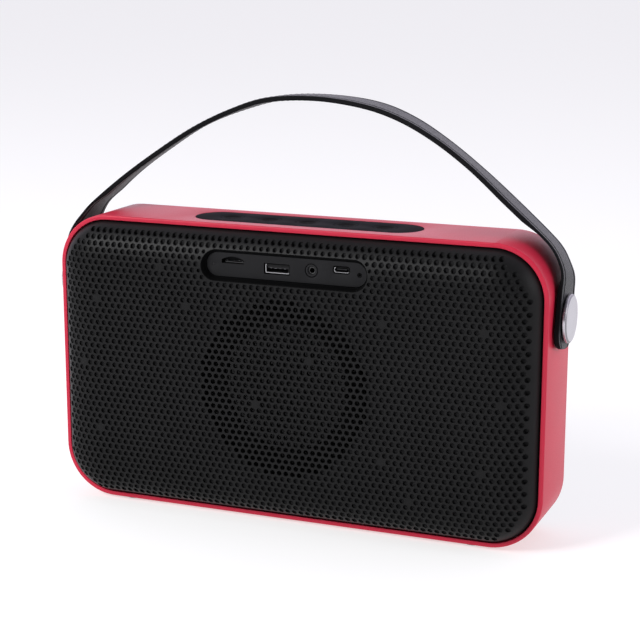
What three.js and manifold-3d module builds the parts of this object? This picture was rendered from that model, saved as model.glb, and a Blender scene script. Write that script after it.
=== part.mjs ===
// Portable party speaker with a leather carrying strap: a red wrap-around band, two pillow-shaped
// panels, a recessed row of sockets, a keypad on top, two drivers, a passive radiator and a battery.
// Millimetres, +Z up. X runs along the length, the socket side faces -Y and the driver side +Y.
// Heights are above the band's underside; the whole group is then lifted by the height of the feet.
import * as THREE from 'three';
import { mergeVertices } from 'three/addons/utils/BufferGeometryUtils.js';
import Module from 'manifold-3d';

const wasm = await Module();
wasm.setup();

// ---- driving dimensions ----
const LENGTH = 255;            // outer band, along X
const HEIGHT = 147.6;          // outer band, along Z
const BAND_DEPTH = 41;         // outer band, rim to rim
const CORNER_R = 26.5;         // outer corner radius
const BAND_WALL = 2.25;
const FOOT_H = 1.2;
const FOOT_R = 6;
const GAP = 0.3;               // clearance between neighbouring pieces
const LAP = 1;                 // how far a cutting tool passes the face that it cuts

const PANEL_INSET = 2.75;      // panel outline, inside the band's outline
const PANEL_SINK = 3;          // the panel's edge lies this far below the rim
const PANEL_SKIRT = 1.6;       // straight edge behind the rolled border
const PANEL_CROWN = 15;        // rise from that edge to the flat middle
const PANEL_ROLL = 27;         // width of the rolled-off border
const PANEL_POWER = 2.6;       // fullness of the rolled border
const PANEL_T = 2;

const PORT_Z = 129;            // middle of the socket recess
const PORT = {
  length: 86.5, height: 15, slope: 1.9, collar: 1.6, floorY: -28.3, seatY: -26.2, flangeT: 1.2,
};
const RADIATOR_Z = 70.4;
const DRIVER_X = 67;
const DRIVER_Z = 72;
const DRIVER_HOLE_R = 30.5;
const POST_X = 112;            // screw posts, left and right
const POST_HEIGHTS = [20, 97];
const BAFFLE_BACK_Y = 13.5;
const BAFFLE_FRONT_Y = 16.5;
const BOARD_TOP_Z = 129.6;
const BOARD_T = 1.6;

const KEYPAD = { length: 117.5, width: 26, pitch: 20.25, buttonR: 6, depth: 3.9 };
const KEY_NAMES = ['phone', 'previous', 'play', 'next', 'mode'];

const PIVOT_Z = 110.5;
const STRAP_W = 25.5;
const STRAP_T = 2.6;
const STRAP_LEAN = THREE.MathUtils.degToRad(11);   // towards +Y at rest
const STRAP_INNER_X = 128.4;   // inner face of the leather beside the pivot
const STRAP_TAIL = 14.5;       // strap end below the pivot
const TAIL_R = 5;

// ---- materials ----
const finish = (color, roughness, metalness = 0) =>
  new THREE.MeshStandardMaterial({ color, roughness, metalness });
const RED = finish(0xc0303f, 0.38);
const BLACK = finish(0x2b2c2e, 0.6);
const DARK = finish(0x1a1a1c, 0.7);
const PAD = finish(0x47474c, 0.65);
const LEATHER = finish(0x303034, 0.55);
const SATIN_STEEL = finish(0xc4c3cc, 0.3, 1);
const STEEL = finish(0x9a9a9e, 0.35, 1);
const RUBBER = finish(0x1c1c1c, 0.9);
const PAPER = finish(0x33302e, 0.85);
const FERRITE = finish(0x3a3a3c, 0.7);
const BOARD = finish(0x1f5a38, 0.5);
const CELL = finish(0x2f5fa8, 0.45);

// ---- geometry helpers ----
// one body with merged vertices, no collapsed triangles, and its faces pointing out
function weld(geometry) {
  const bare = geometry.clone();
  const extras = Object.keys(bare.attributes).filter((name) => name !== 'position');
  extras.forEach((name) => bare.deleteAttribute(name));
  const merged = mergeVertices(bare, 1e-4);
  const source = merged.index.array;
  const triangles = [];
  for (let i = 0; i < source.length; i += 3) {
    const [a, b, c] = source.subarray(i, i + 3);
    if (a !== b && b !== c && c !== a) triangles.push([a, b, c]);
  }
  const corner = (k) => new THREE.Vector3().fromBufferAttribute(merged.attributes.position, k);
  const sixVolumes = triangles.reduce(
    (sum, [a, b, c]) => sum + corner(a).dot(corner(b).cross(corner(c))), 0);
  const outward = sixVolumes < 0 ? triangles.map(([a, b, c]) => [a, c, b]) : triangles;
  merged.setIndex(outward.flat());
  return merged;
}

function solid(geometry) {
  const clean = weld(geometry);
  return new wasm.Manifold(new wasm.Mesh({
    numProp: 3,
    vertProperties: new Float32Array(clean.attributes.position.array),
    triVerts: new Uint32Array(clean.index.array),
  }));
}

function surface(manifold) {
  const mesh = manifold.getMesh();
  const geometry = new THREE.BufferGeometry();
  const positions = new Float32Array(mesh.vertProperties);
  geometry.setAttribute('position', new THREE.BufferAttribute(positions, 3));
  geometry.setIndex([...mesh.triVerts]);
  return geometry;
}

function shape(base, { add = [], cut = [] }) {
  let result = solid(base);
  for (const part of add) result = result.add(solid(part));
  for (const tool of cut) result = result.subtract(solid(tool));
  return surface(result);
}

function roundedRect(width, height, radius, x = 0, z = 0) {
  const [a, b] = [width / 2 - radius, height / 2 - radius];
  const outline = new THREE.Shape();
  outline.absarc(x + a, z + b, radius, 0, Math.PI / 2);
  outline.absarc(x - a, z + b, radius, Math.PI / 2, Math.PI);
  outline.absarc(x - a, z - b, radius, Math.PI, 1.5 * Math.PI);
  outline.absarc(x + a, z - b, radius, 1.5 * Math.PI, 2 * Math.PI);
  outline.closePath();
  return outline;
}

const stadium = (length, width, x = 0, z = 0) => roundedRect(length, width, width / 2, x, z);

function extruded(outline, depth, curveSegments) {
  return new THREE.ExtrudeGeometry(outline, { depth, bevelEnabled: false, curveSegments });
}

// an outline in the X-Z plane, filled from y0 to y1
function slabY(outline, y0, y1, curveSegments = 6) {
  return extruded(outline, y1 - y0, curveSegments).rotateX(Math.PI / 2).translate(0, y1, 0);
}

// an outline in the X-Y plane, filled from z0 to z1
function slabZ(outline, z0, z1, curveSegments = 6) {
  return extruded(outline, z1 - z0, curveSegments).translate(0, 0, z0);
}

function box(x0, x1, y0, y1, z0, z1) {
  const geometry = new THREE.BoxGeometry(x1 - x0, y1 - y0, z1 - z0);
  return geometry.translate((x0 + x1) / 2, (y0 + y1) / 2, (z0 + z1) / 2);
}

// a piece turned about a Y axis through (x, z), from a profile of [radius, y]
function turned(profile, x, z, sides = 20) {
  const points = profile.map(([radius, y]) => new THREE.Vector2(radius, y));
  return new THREE.LatheGeometry(points, sides).translate(x, 0, z);
}

// a ring of rectangular section about a Y axis
function ring(innerR, outerR, y0, y1, x, z, sides) {
  const profile = [[innerR, y0], [outerR, y0], [outerR, y1], [innerR, y1], [innerR, y0]];
  return turned(profile, x, z, sides);
}

function rodX(radius, x0, x1, y, z, sides = 12) {
  const rod = new THREE.CylinderGeometry(radius, radius, x1 - x0, sides);
  return rod.rotateZ(Math.PI / 2).translate((x0 + x1) / 2, y, z);
}

function rodY(radius, x, y0, y1, z, sides = 12) {
  const rod = new THREE.CylinderGeometry(radius, radius, y1 - y0, sides);
  return rod.translate(x, (y0 + y1) / 2, z);
}

function rodZ(radius, x, y, z0, z1, sides = 12) {
  const rod = new THREE.CylinderGeometry(radius, radius, z1 - z0, sides);
  return rod.rotateX(Math.PI / 2).translate(x, y, (z0 + z1) / 2);
}

// ---- derived places ----
const RIM_Y = BAND_DEPTH / 2;
const MID_Z = HEIGHT / 2;
const INNER_W = LENGTH - 2 * BAND_WALL;
const INNER_H = HEIGHT - 2 * BAND_WALL;
const PANEL_EDGE_Y = RIM_Y - PANEL_SINK;
const PANEL_FACE_Y = PANEL_EDGE_Y + PANEL_CROWN;
const PIVOT_X = STRAP_INNER_X + STRAP_T / 2;   // middle of the leather beside the pivot
const BOTH_SIDES = [['left', -1], ['right', 1]];
const SCREW_POSTS = POST_HEIGHTS.flatMap((z) => [[-POST_X, z], [POST_X, z]]);

const speaker = new THREE.Group();
speaker.position.z = FOOT_H;

function piece(name, geometry, material) {
  const mesh = new THREE.Mesh(weld(geometry), material);
  mesh.name = name;
  speaker.add(mesh);
}

// ---- outer band ----
function outerBand() {
  const holeR = 2.3;
  const outline = roundedRect(LENGTH, HEIGHT, CORNER_R, 0, MID_Z);
  outline.holes.push(roundedRect(INNER_W, INNER_H, CORNER_R - BAND_WALL, 0, MID_Z));
  const keypadSlot = stadium(KEYPAD.length, KEYPAD.width);
  const cut = [slabZ(keypadSlot, HEIGHT - 2 * BAND_WALL, HEIGHT + BAND_WALL)];
  for (const [, side] of BOTH_SIDES) {
    const x = side * LENGTH / 2;
    cut.push(rodX(holeR, x - 2 * BAND_WALL, x + 2 * BAND_WALL, 0, PIVOT_Z));
  }
  piece('outer_band', shape(slabY(outline, -RIM_Y, RIM_Y, 8), { cut }), RED);
}

// ---- pillow panels ----
// rise of the panel above its edge, at a distance from its outline
function crown(distance) {
  const t = 1 - distance / PANEL_ROLL;
  return PANEL_CROWN * Math.sqrt(1 - t ** PANEL_POWER);
}

// a loop of points round the panel's outline moved in by inset, the same count for every inset
function panelLoop(inset, y) {
  const steps = 4;
  const smallestR = 1.5;
  const radius = Math.max(CORNER_R - inset, smallestR);
  const [a, b] = [LENGTH / 2 - inset - radius, HEIGHT / 2 - inset - radius];
  const points = [];
  for (const [quarter, sx, sz] of [[0, 1, 1], [1, -1, 1], [2, -1, -1], [3, 1, -1]]) {
    for (let k = 0; k <= steps; k++) {
      const angle = (quarter + k / steps) * Math.PI / 2;
      points.push([sx * a + radius * Math.cos(angle), y, MID_Z + sz * b + radius * Math.sin(angle)]);
    }
  }
  return points;
}

// a closed shell through successive loops of equal count, with a fan at each end
function loft(loops, centreZ) {
  const count = loops[0].length;
  const centre = (points) => [0, points[0][1], centreZ];
  const positions = [...loops.flat(), centre(loops[0]), centre(loops.at(-1))].flat();
  const lastRow = (loops.length - 1) * count;
  const firstCentre = loops.length * count;
  const index = [];
  for (let k = 0; k < count; k++) {
    const next = (k + 1) % count;
    for (let row = 0; row < lastRow; row += count) {
      const above = row + count;
      index.push(row + k, row + next, above + k, row + next, above + next, above + k);
    }
    index.push(firstCentre, next, k, firstCentre + 1, lastRow + k, lastRow + next);
  }
  const geometry = new THREE.BufferGeometry();
  geometry.setAttribute('position', new THREE.Float32BufferAttribute(positions, 3));
  geometry.setIndex(index);
  return geometry;
}

// the outside of a panel, or with depth = PANEL_T the inside of it
function pillow(side, depth) {
  const distances = [0, 1, 3.5, 8, 15, PANEL_ROLL];
  const edge = PANEL_INSET + depth;
  const skirtY = PANEL_EDGE_Y - PANEL_SKIRT - (depth > 0 ? LAP : 0);
  const rolled = distances.map((d) =>
    panelLoop(edge + d, side * (PANEL_EDGE_Y - depth + crown(d))));
  return loft([panelLoop(edge, side * skirtY), ...rolled], MID_Z);
}

const pillowShell = (side) => shape(pillow(side, 0), { cut: [pillow(side, PANEL_T)] });

// ---- rear panel, with the sloping mouth that leads down to the sockets ----
function mouthLoop(inset, y) {
  const sides = 20;
  const radius = PORT.height / 2 - inset;
  const half = PORT.length / 2 - inset - radius;
  return Array.from({ length: sides }, (_, k) => {
    const angle = (k + 0.5) / sides * 2 * Math.PI;
    const x = Math.sign(Math.cos(angle)) * half + radius * Math.cos(angle);
    return [x, y, PORT_Z + radius * Math.sin(angle)];
  });
}

function rearPanel() {
  const post = { r: 4, boreR: 1.25, boreY: 2, rootY: -29 };
  const pocketY = -12;
  const outset = 2 * PORT.collar;
  const collar = stadium(PORT.length + outset, PORT.height + outset, 0, PORT_Z);
  const seat = stadium(PORT.length + outset + 2 * GAP, PORT.height + outset + 2 * GAP, 0, PORT_Z);
  const mouthY = -PANEL_FACE_Y;
  const mouth = loft([
    mouthLoop(-PORT.slope, 2 * mouthY - PORT.floorY),
    mouthLoop(0, mouthY),
    mouthLoop(PORT.slope, PORT.floorY),
    mouthLoop(PORT.slope, PORT.seatY + LAP),
  ], PORT_Z);
  const add = [slabY(collar, PORT.floorY, PORT.seatY, 5)];
  const cut = [mouth, slabY(seat, PORT.seatY, pocketY, 5)];
  for (const [x, z] of SCREW_POSTS) {
    add.push(rodY(post.r, x, post.rootY, BAFFLE_BACK_Y - GAP, z, 10));
    cut.push(rodY(post.boreR, x, post.boreY, BAFFLE_BACK_Y, z, 8));
  }
  piece('rear_panel', shape(pillowShell(-1), { add, cut }), BLACK);
}

// ---- driver baffle and the screws that hold the cabinet together ----
function frontBaffle() {
  const margin = 3.5;
  const holeR = 1.8;
  const cornerR = 21.5;
  const outline = roundedRect(INNER_W - 2 * margin, INNER_H - 2 * margin, cornerR, 0, MID_Z);
  const [y0, y1] = [BAFFLE_BACK_Y - LAP, BAFFLE_FRONT_Y + LAP];
  const driverHoles = BOTH_SIDES.map(([, side]) =>
    rodY(DRIVER_HOLE_R, side * DRIVER_X, y0, y1, DRIVER_Z, 20));
  const screwHoles = SCREW_POSTS.map(([x, z]) => rodY(holeR, x, y0, y1, z, 8));
  const slab = slabY(outline, BAFFLE_BACK_Y, BAFFLE_FRONT_Y, 5);
  piece('front_baffle', shape(slab, { cut: [...driverHoles, ...screwHoles] }), DARK);
}

function cabinetScrews() {
  const screw = { r: 1.15, tipY: 6, headR: 3, domeR: 2, headH: 1.2, domeH: 0.6 };
  const headY = BAFFLE_FRONT_Y + GAP;
  const rimY = headY + screw.headH;
  const topY = rimY + screw.domeH;
  const profile = [
    [0, screw.tipY], [screw.r, screw.tipY], [screw.r, headY], [screw.headR, headY],
    [screw.headR, rimY], [screw.domeR, topY], [0, topY],
  ];
  SCREW_POSTS.forEach(([x, z], number) => {
    piece(`cabinet_screw_${number + 1}`, turned(profile, x, z, 8), STEEL);
  });
}

// ---- sockets, their plate and the main board ----
const MICRO_SD = { x: -27, z: 131.2, width: 14.5, height: 2.4 };
const CARD_SLOT = { ...MICRO_SD, width: 12, height: 1.2 };
const USB_A = { x: -3.8, z: 129.3, width: 13.1, height: 5.7 };
const USB_TONGUE = { ...USB_A, z: USB_A.z + 1.1, width: 11.2, height: 1.8 };
const MICRO_USB = { x: 29.3, z: 131.3, width: 8, height: 2.9 };
const MICRO_TONGUE = { ...MICRO_USB, z: MICRO_USB.z + 0.2, width: 5.2, height: 0.6 };
const JACK = { x: 14.3, z: 130, bodyR: 3, boreR: 1.8, blockHalf: 3.5, blockHalfZ: 2.9 };
const SOCKET_WALL = 0.4;
const LIGHT_X = -38;
const MICROPHONE_X = 38;
const PLATE_FRONT_Y = PORT.floorY + GAP;
const FLANGE_Y = PORT.seatY + GAP;
const PLATE_BACK_Y = FLANGE_Y + PORT.flangeT;
const BEHIND_PLATE_Y = PLATE_BACK_Y + GAP;
const SOCKET_FRONT_Y = PLATE_FRONT_Y + 0.1;
const SOCKET_BACK_Y = -15;

// a rectangular bar along Y, grown by extra on all four sides
function bar({ x, z, width, height }, y0, y1, extra = 0) {
  const [w, h] = [width / 2 + extra, height / 2 + extra];
  return box(x - w, x + w, y0, y1, z - h, z + h);
}

function portPlate() {
  const rail = { x: 32.5, half: 1.5, height: 1.5, backY: -8 };
  const lightR = 0.9;
  const microphoneR = 0.7;
  const outset = 2 * PORT.collar;
  const inset = 2 * (PORT.slope + GAP);
  const flange = stadium(PORT.length + outset, PORT.height + outset, 0, PORT_Z);
  const face = stadium(PORT.length - inset, PORT.height - inset, 0, PORT_Z);
  const [y0, y1] = [PLATE_FRONT_Y - LAP, PLATE_BACK_Y + LAP];
  const cut = [
    bar(CARD_SLOT, y0, y1, GAP),
    bar(USB_A, y0, y1, GAP),
    bar(MICRO_USB, y0, y1, GAP),
    rodY(JACK.bodyR + GAP, JACK.x, y0, y1, JACK.z),
    rodY(lightR, LIGHT_X, y0, y1, PORT_Z, 8),
    rodY(microphoneR, MICROPHONE_X, y0, y1, PORT_Z, 8),
  ];
  const railTop = BOARD_TOP_Z - BOARD_T - GAP;
  const rails = BOTH_SIDES.map(([, side]) => {
    const x = side * rail.x;
    return box(x - rail.half, x + rail.half, FLANGE_Y, rail.backY, railTop - rail.height, railTop);
  });
  const add = [slabY(flange, FLANGE_Y, PLATE_BACK_Y, 5), ...rails];
  const plate = slabY(face, PLATE_FRONT_Y, (FLANGE_Y + PLATE_BACK_Y) / 2, 5);
  piece('port_plate', shape(plate, { add, cut }), BLACK);
}

// a bent-metal socket with its tongue, closed at the back
function metalSocket(name, shell, tongue, backY) {
  const hollow = bar(shell, SOCKET_FRONT_Y - LAP, backY - LAP, -SOCKET_WALL);
  const blade = bar(tongue, SOCKET_FRONT_Y + LAP, backY - LAP / 2);
  const body = bar(shell, SOCKET_FRONT_Y, backY);
  piece(name, shape(body, { cut: [hollow], add: [blade] }), STEEL);
}

function sockets() {
  const cardCut = bar(CARD_SLOT, BEHIND_PLATE_Y - LAP, SOCKET_BACK_Y - 2 * LAP);
  const cardBody = bar(MICRO_SD, BEHIND_PLATE_Y, SOCKET_BACK_Y);
  piece('microsd_socket', shape(cardBody, { cut: [cardCut] }), STEEL);
  metalSocket('usb_a_socket', USB_A, USB_TONGUE, SOCKET_BACK_Y);
  metalSocket('micro_usb_socket', MICRO_USB, MICRO_TONGUE, SOCKET_BACK_Y - 3);
  const block = box(JACK.x - JACK.blockHalf, JACK.x + JACK.blockHalf, BEHIND_PLATE_Y,
    SOCKET_BACK_Y, JACK.z - JACK.blockHalfZ, JACK.z + JACK.blockHalfZ);
  const barrel = rodY(JACK.bodyR, JACK.x, SOCKET_FRONT_Y, SOCKET_BACK_Y - LAP, JACK.z);
  const bore = rodY(JACK.boreR, JACK.x, SOCKET_FRONT_Y - LAP, SOCKET_BACK_Y - 2 * LAP, JACK.z);
  piece('headphone_jack', shape(barrel, { add: [block], cut: [bore] }), DARK);
}

function microphoneAndLight() {
  const [lensR, baseR, baseT] = [0.6, 1.6, 2];
  const backY = BEHIND_PLATE_Y + baseT;
  const light = [
    [0, SOCKET_FRONT_Y], [lensR, SOCKET_FRONT_Y], [lensR, BEHIND_PLATE_Y],
    [baseR, BEHIND_PLATE_Y], [baseR, backY], [0, backY],
  ];
  piece('microphone', rodY(2, MICROPHONE_X, BEHIND_PLATE_Y, backY, PORT_Z), STEEL);
  piece('status_light', turned(light, LIGHT_X, PORT_Z, 8), PAD);
}

function mainBoard() {
  const [halfWidth, backY] = [35, 8];
  const underside = BOARD_TOP_Z - BOARD_T;
  const board = box(-halfWidth, halfWidth, BEHIND_PLATE_Y, backY, underside, BOARD_TOP_Z);
  const notch = (x, half) => box(x - half - GAP, x + half + GAP, BEHIND_PLATE_Y - LAP,
    SOCKET_BACK_Y + GAP, underside - LAP, BOARD_TOP_Z + LAP);
  const cut = [notch(USB_A.x, USB_A.width / 2), notch(JACK.x, JACK.blockHalf)];
  piece('main_circuit_board', shape(board, { cut }), BOARD);
}

// ---- keypad in the band's top ----
const KEYPAD_FLOOR_Z = HEIGHT - KEYPAD.depth;
const BUTTON_TOP_Z = HEIGHT - 0.15;
const SWITCH_TOP_Z = HEIGHT - 7.7;
const KEYPAD_BOARD_Z = HEIGHT - 13.4;
const keyX = (number) => (number - (KEY_NAMES.length - 1) / 2) * KEYPAD.pitch;

function keypadFrame() {
  const flangeOutset = 4;
  const spacer = { x: 52, r: 2 };
  const pill = stadium(KEYPAD.length - 2 * GAP, KEYPAD.width - 2 * GAP);
  const flange = stadium(KEYPAD.length + flangeOutset, KEYPAD.width + flangeOutset);
  const add = [slabZ(flange, KEYPAD_FLOOR_Z, HEIGHT - BAND_WALL - GAP)];
  for (const [, side] of BOTH_SIDES) {
    const foot = KEYPAD_BOARD_Z + BOARD_T + GAP;
    add.push(rodZ(spacer.r, side * spacer.x, 0, foot, KEYPAD_FLOOR_Z + LAP, 8));
  }
  const cut = KEY_NAMES.map((_, number) =>
    rodZ(KEYPAD.buttonR + GAP, keyX(number), 0, KEYPAD_FLOOR_Z - LAP, HEIGHT + LAP, 20));
  piece('keypad_frame', shape(slabZ(pill, KEYPAD_FLOOR_Z, HEIGHT), { add, cut }), PAD);
}

// a dished button top, with a collar that stops it under the keypad and a stem to its switch
function button(name, x) {
  const radius = KEYPAD.buttonR;
  const [stemR, collarR, dishR, dishInnerR] = [1.8, 7.2, 4.6, 2.4];
  const stemZ = SWITCH_TOP_Z + 0.7;
  const collarTop = KEYPAD_FLOOR_Z - GAP;
  const collarZ = KEYPAD_FLOOR_Z - 1.5;
  const profile = [
    [0, stemZ], [stemR, stemZ], [stemR, collarZ], [collarR, collarZ], [collarR, collarTop],
    [radius, collarTop], [radius, BUTTON_TOP_Z], [dishR, BUTTON_TOP_Z],
    [dishInnerR, BUTTON_TOP_Z - 0.5], [0, BUTTON_TOP_Z - 0.6],
  ];
  const geometry = turned(profile, 0, 0, 20).rotateX(Math.PI / 2).translate(x, 0, 0);
  piece(`${name}_button`, geometry, PAD);
}

function tactSwitch(name, x) {
  const half = 3;
  const plungerR = 1.7;
  const topZ = SWITCH_TOP_Z - 0.9;
  const body = box(x - half, x + half, -half, half, KEYPAD_BOARD_Z + BOARD_T + 0.05, topZ);
  const plunger = rodZ(plungerR, x, 0, topZ - 0.6, SWITCH_TOP_Z, 8);
  piece(`${name}_switch`, shape(body, { add: [plunger] }), STEEL);
}

function keypad() {
  const [boardHalfX, boardHalfY] = [55, 9];
  keypadFrame();
  KEY_NAMES.forEach((name, number) => {
    button(name, keyX(number));
    tactSwitch(name, keyX(number));
  });
  const boardTop = KEYPAD_BOARD_Z + BOARD_T;
  const board = box(-boardHalfX, boardHalfX, -boardHalfY, boardHalfY, KEYPAD_BOARD_Z, boardTop);
  piece('keypad_circuit_board', board, BOARD);
}

// ---- drivers behind the front panel ----
// each profile is [radius, y]; the basket's flange rests on the baffle
function drivers() {
  const flangeY = BAFFLE_FRONT_Y + GAP;
  const flangeTop = flangeY + 1.8;
  const basket = [
    [28.2, flangeTop], [33, flangeTop], [33, flangeY], [29.8, flangeY], [29.8, 13], [19, 3.5],
    [19, 0], [11.5, 0], [11.5, 1.5], [17.6, 1.5], [17.6, 4], [28.2, 13.6], [28.2, flangeTop],
  ];
  const magnet = [
    [0, -12.3], [21, -12.3], [21, -0.3], [11, -0.3], [11, -9], [8.8, -9], [8.8, -0.3], [0, -0.3],
  ];
  const cone = [
    [0, 12.4], [8, 11.2], [10.6, 9.6], [23.4, 18], [23.4, 17], [10.2, 8.2], [10.2, -6],
    [9.4, -6], [9.4, 9], [7, 10.5], [0, 11.4],
  ];
  const rollY = flangeTop + GAP;
  const roll = [
    [23.7, rollY], [24.7, rollY + 1.5], [26.2, rollY + 2.1], [27.7, rollY + 1.5], [28.7, rollY],
    [32.5, rollY], [32.5, rollY + 0.7], [29.2, rollY + 0.7], [28.1, rollY + 2.3],
    [26.2, rollY + 2.9], [24.3, rollY + 2.3], [23.7, rollY],
  ];
  for (const [name, side] of BOTH_SIDES) {
    const x = side * DRIVER_X;
    piece(`${name}_driver_frame`, turned(basket, x, DRIVER_Z), DARK);
    piece(`${name}_driver_magnet`, turned(magnet, x, DRIVER_Z), FERRITE);
    piece(`${name}_driver_cone`, turned(cone, x, DRIVER_Z), PAPER);
    piece(`${name}_driver_surround`, turned(roll, x, DRIVER_Z), RUBBER);
  }
}

// ---- passive radiator behind the rear panel ----
function passiveRadiator() {
  const sides = 28;
  const roll = [
    [31.9, -26.2], [31.9, -27.2], [34, -29.1], [37, -29.7], [40, -29.1], [42.2, -26.9],
    [46.5, -26.9], [46.5, -26.2], [41.8, -26.2], [39.6, -28.3], [37, -28.9], [34.4, -28.3],
    [32.7, -26.2], [31.9, -26.2],
  ];
  const plate = [[0, -27], [31.5, -27], [31.5, -26], [0, -26]];
  const weight = [[0, -25.9], [13, -25.9], [13, -22.9], [0, -22.9]];
  piece('radiator_frame', ring(43, 47, -29.7, -27.2, 0, RADIATOR_Z, sides), DARK);
  piece('radiator_surround', turned(roll, 0, RADIATOR_Z, sides), RUBBER);
  piece('radiator_plate', turned(plate, 0, RADIATOR_Z, sides), DARK);
  piece('radiator_weight', turned(weight, 0, RADIATOR_Z, sides), STEEL);
}

// ---- battery in the bottom of the cabinet ----
function battery() {
  const [cellR, cellHalf] = [9.2, 32.5];
  const tray = { half: 37.5, wall: 3.5, z: 8, height: 9, floorT: 1.5, rearY: -20, frontY: 13.1 };
  const floor = tray.z + tray.floorT;
  const rim = tray.z + tray.height;
  const inner = tray.half - tray.wall;
  const body = box(-tray.half, tray.half, tray.rearY, tray.frontY, tray.z, rim);
  const hollow = box(-inner, inner, tray.rearY - LAP, tray.frontY + LAP, floor, rim + LAP);
  piece('battery_holder', shape(body, { cut: [hollow] }), DARK);
  for (const [name, y] of [['rear', -14.9], ['front', 3.8]]) {
    const cell = rodX(cellR, -cellHalf, cellHalf, y, floor + cellR + 0.2, 16);
    piece(`${name}_battery_cell`, cell, CELL);
  }
}

// ---- strap and its pivots ----
// the middle of the leather, right half: X from the pivot's plane and height above the pivot
const STRAP_HALF = [
  [0, -STRAP_TAIL], [0, 0], [0, 12], [-0.2, 20], [-1.3, 27], [-4.8, 33.2], [-11.5, 38.8],
  [-28.2, 53.4], [-46.7, 67.4], [-65.7, 80.4], [-84.7, 90.4], [-104.7, 97],
];
const ARCH_TOP = 99.6;

function strap() {
  const steps = 60;
  const holeR = 3.4;
  const right = STRAP_HALF.map(([dx, z]) => new THREE.Vector2(PIVOT_X + dx, z));
  const left = right.map(({ x, y }) => new THREE.Vector2(-x, y)).reverse();
  const path = new THREE.SplineCurve([...right, new THREE.Vector2(0, ARCH_TOP), ...left]);
  const [outer, inner] = [[], []];
  for (let k = 0; k <= steps; k++) {
    const point = path.getPoint(k / steps);
    const along = path.getTangent(k / steps);
    const out = new THREE.Vector2(along.y, -along.x).multiplyScalar(STRAP_T / 2);
    outer.push(point.clone().add(out));
    inner.push(point.clone().sub(out));
  }
  const profile = new THREE.Shape([...outer, ...inner.reverse()]);
  const leather = slabY(profile, -STRAP_W / 2, STRAP_W / 2);
  const cut = [];
  for (const [, side] of BOTH_SIDES) {
    const x = side * PIVOT_X;
    cut.push(rodX(holeR, x - STRAP_T, x + STRAP_T, 0, 0, 16));
    cut.push(tailCorner(side, -1), tailCorner(side, 1));
  }
  const geometry = shape(leather, { cut }).rotateX(-STRAP_LEAN).translate(0, 0, PIVOT_Z);
  piece('strap', geometry, LEATHER);
}

// what is trimmed off one corner of the strap's tail to round it
function tailCorner(side, edge) {
  const [y, z] = [STRAP_W / 2, -STRAP_TAIL];
  const corner = new THREE.Shape();
  corner.absarc(y - TAIL_R, z + TAIL_R, TAIL_R, 0, -Math.PI / 2, true);
  corner.lineTo(y - TAIL_R, z - LAP);
  corner.lineTo(y + LAP, z - LAP);
  corner.lineTo(y + LAP, z + TAIL_R);
  corner.closePath();
  const geometry = extruded(corner, 4 * STRAP_T, 4).rotateX(Math.PI / 2).rotateZ(Math.PI / 2);
  return geometry.scale(1, edge, 1).translate(side * PIVOT_X - 2 * STRAP_T, 0, 0);
}

// screw, nut, spacer washer and cap, turned about the pivot's axis from profiles of [radius, x]
function pivots() {
  const shell = LENGTH / 2;
  const touch = 0.05;
  const washerX = shell + touch;
  const capX = STRAP_INNER_X + STRAP_T + GAP;
  const shoulderX = capX - GAP / 2;
  const nutX = shell - BAND_WALL - GAP;
  const screw = [
    [0, shell - 9.5], [2, shell - 9.5], [2, washerX], [3, washerX], [3, shoulderX],
    [2.1, shoulderX], [2.1, capX + 1], [0, capX + 1],
  ];
  const cap = [
    [2.4, capX], [11, capX], [11.6, capX + 0.6], [11.6, capX + 1.6], [10.9, capX + 2.3],
    [0, capX + 2.3], [0, capX + 1.3], [2.4, capX + 1.3], [2.4, capX],
  ];
  const parts = [
    ['pivot_screw', turned(screw, 0, 0, 10), STEEL],
    ['pivot_cap', turned(cap, 0, 0, 28), SATIN_STEEL],
    ['pivot_washer', ring(3.3, 7, washerX, STRAP_INNER_X - 0.25, 0, 0, 16), RUBBER],
    ['pivot_nut', ring(2.6, 4.5, nutX - 3, nutX, 0, 0, 6), STEEL],
  ];
  for (const [name, side] of BOTH_SIDES) {
    for (const [part, geometry, material] of parts) {
      const placed = geometry.clone().rotateZ(-side * Math.PI / 2).translate(0, 0, PIVOT_Z);
      piece(`${name}_${part}`, placed, material);
    }
  }
}

// ---- feet ----
function feet() {
  const [footX, footY, chamfer] = [92, 12, 0.4];
  const profile = [
    [0, -FOOT_H], [FOOT_R - chamfer, -FOOT_H], [FOOT_R, -FOOT_H + chamfer], [FOOT_R, 0], [0, 0],
  ];
  for (const [row, y] of [['rear', -footY], ['front', footY]]) {
    for (const [name, side] of BOTH_SIDES) {
      const foot = turned(profile, 0, 0, 16).rotateX(Math.PI / 2);
      piece(`${row}_${name}_foot`, foot.translate(side * footX, y, 0), RUBBER);
    }
  }
}

outerBand();
rearPanel();
piece('front_panel', pillowShell(1), BLACK);
frontBaffle();
cabinetScrews();
portPlate();
sockets();
microphoneAndLight();
mainBoard();
keypad();
drivers();
passiveRadiator();
battery();
strap();
pivots();
feet();

export default speaker;
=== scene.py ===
"""Looks of a portable party speaker: red band, dimpled black panels, keypad, sockets, leather strap.

Shapes are worked out in millimetres in the CAD frame (+X length, -Y socket side, +Z up) and turned into
metres when a piece is made. Heights count from the floor, so they include the feet.
"""
import math

import bpy
from mathutils import Matrix, Quaternion, Vector
from mathutils.geometry import delaunay_2d_cdt


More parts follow.
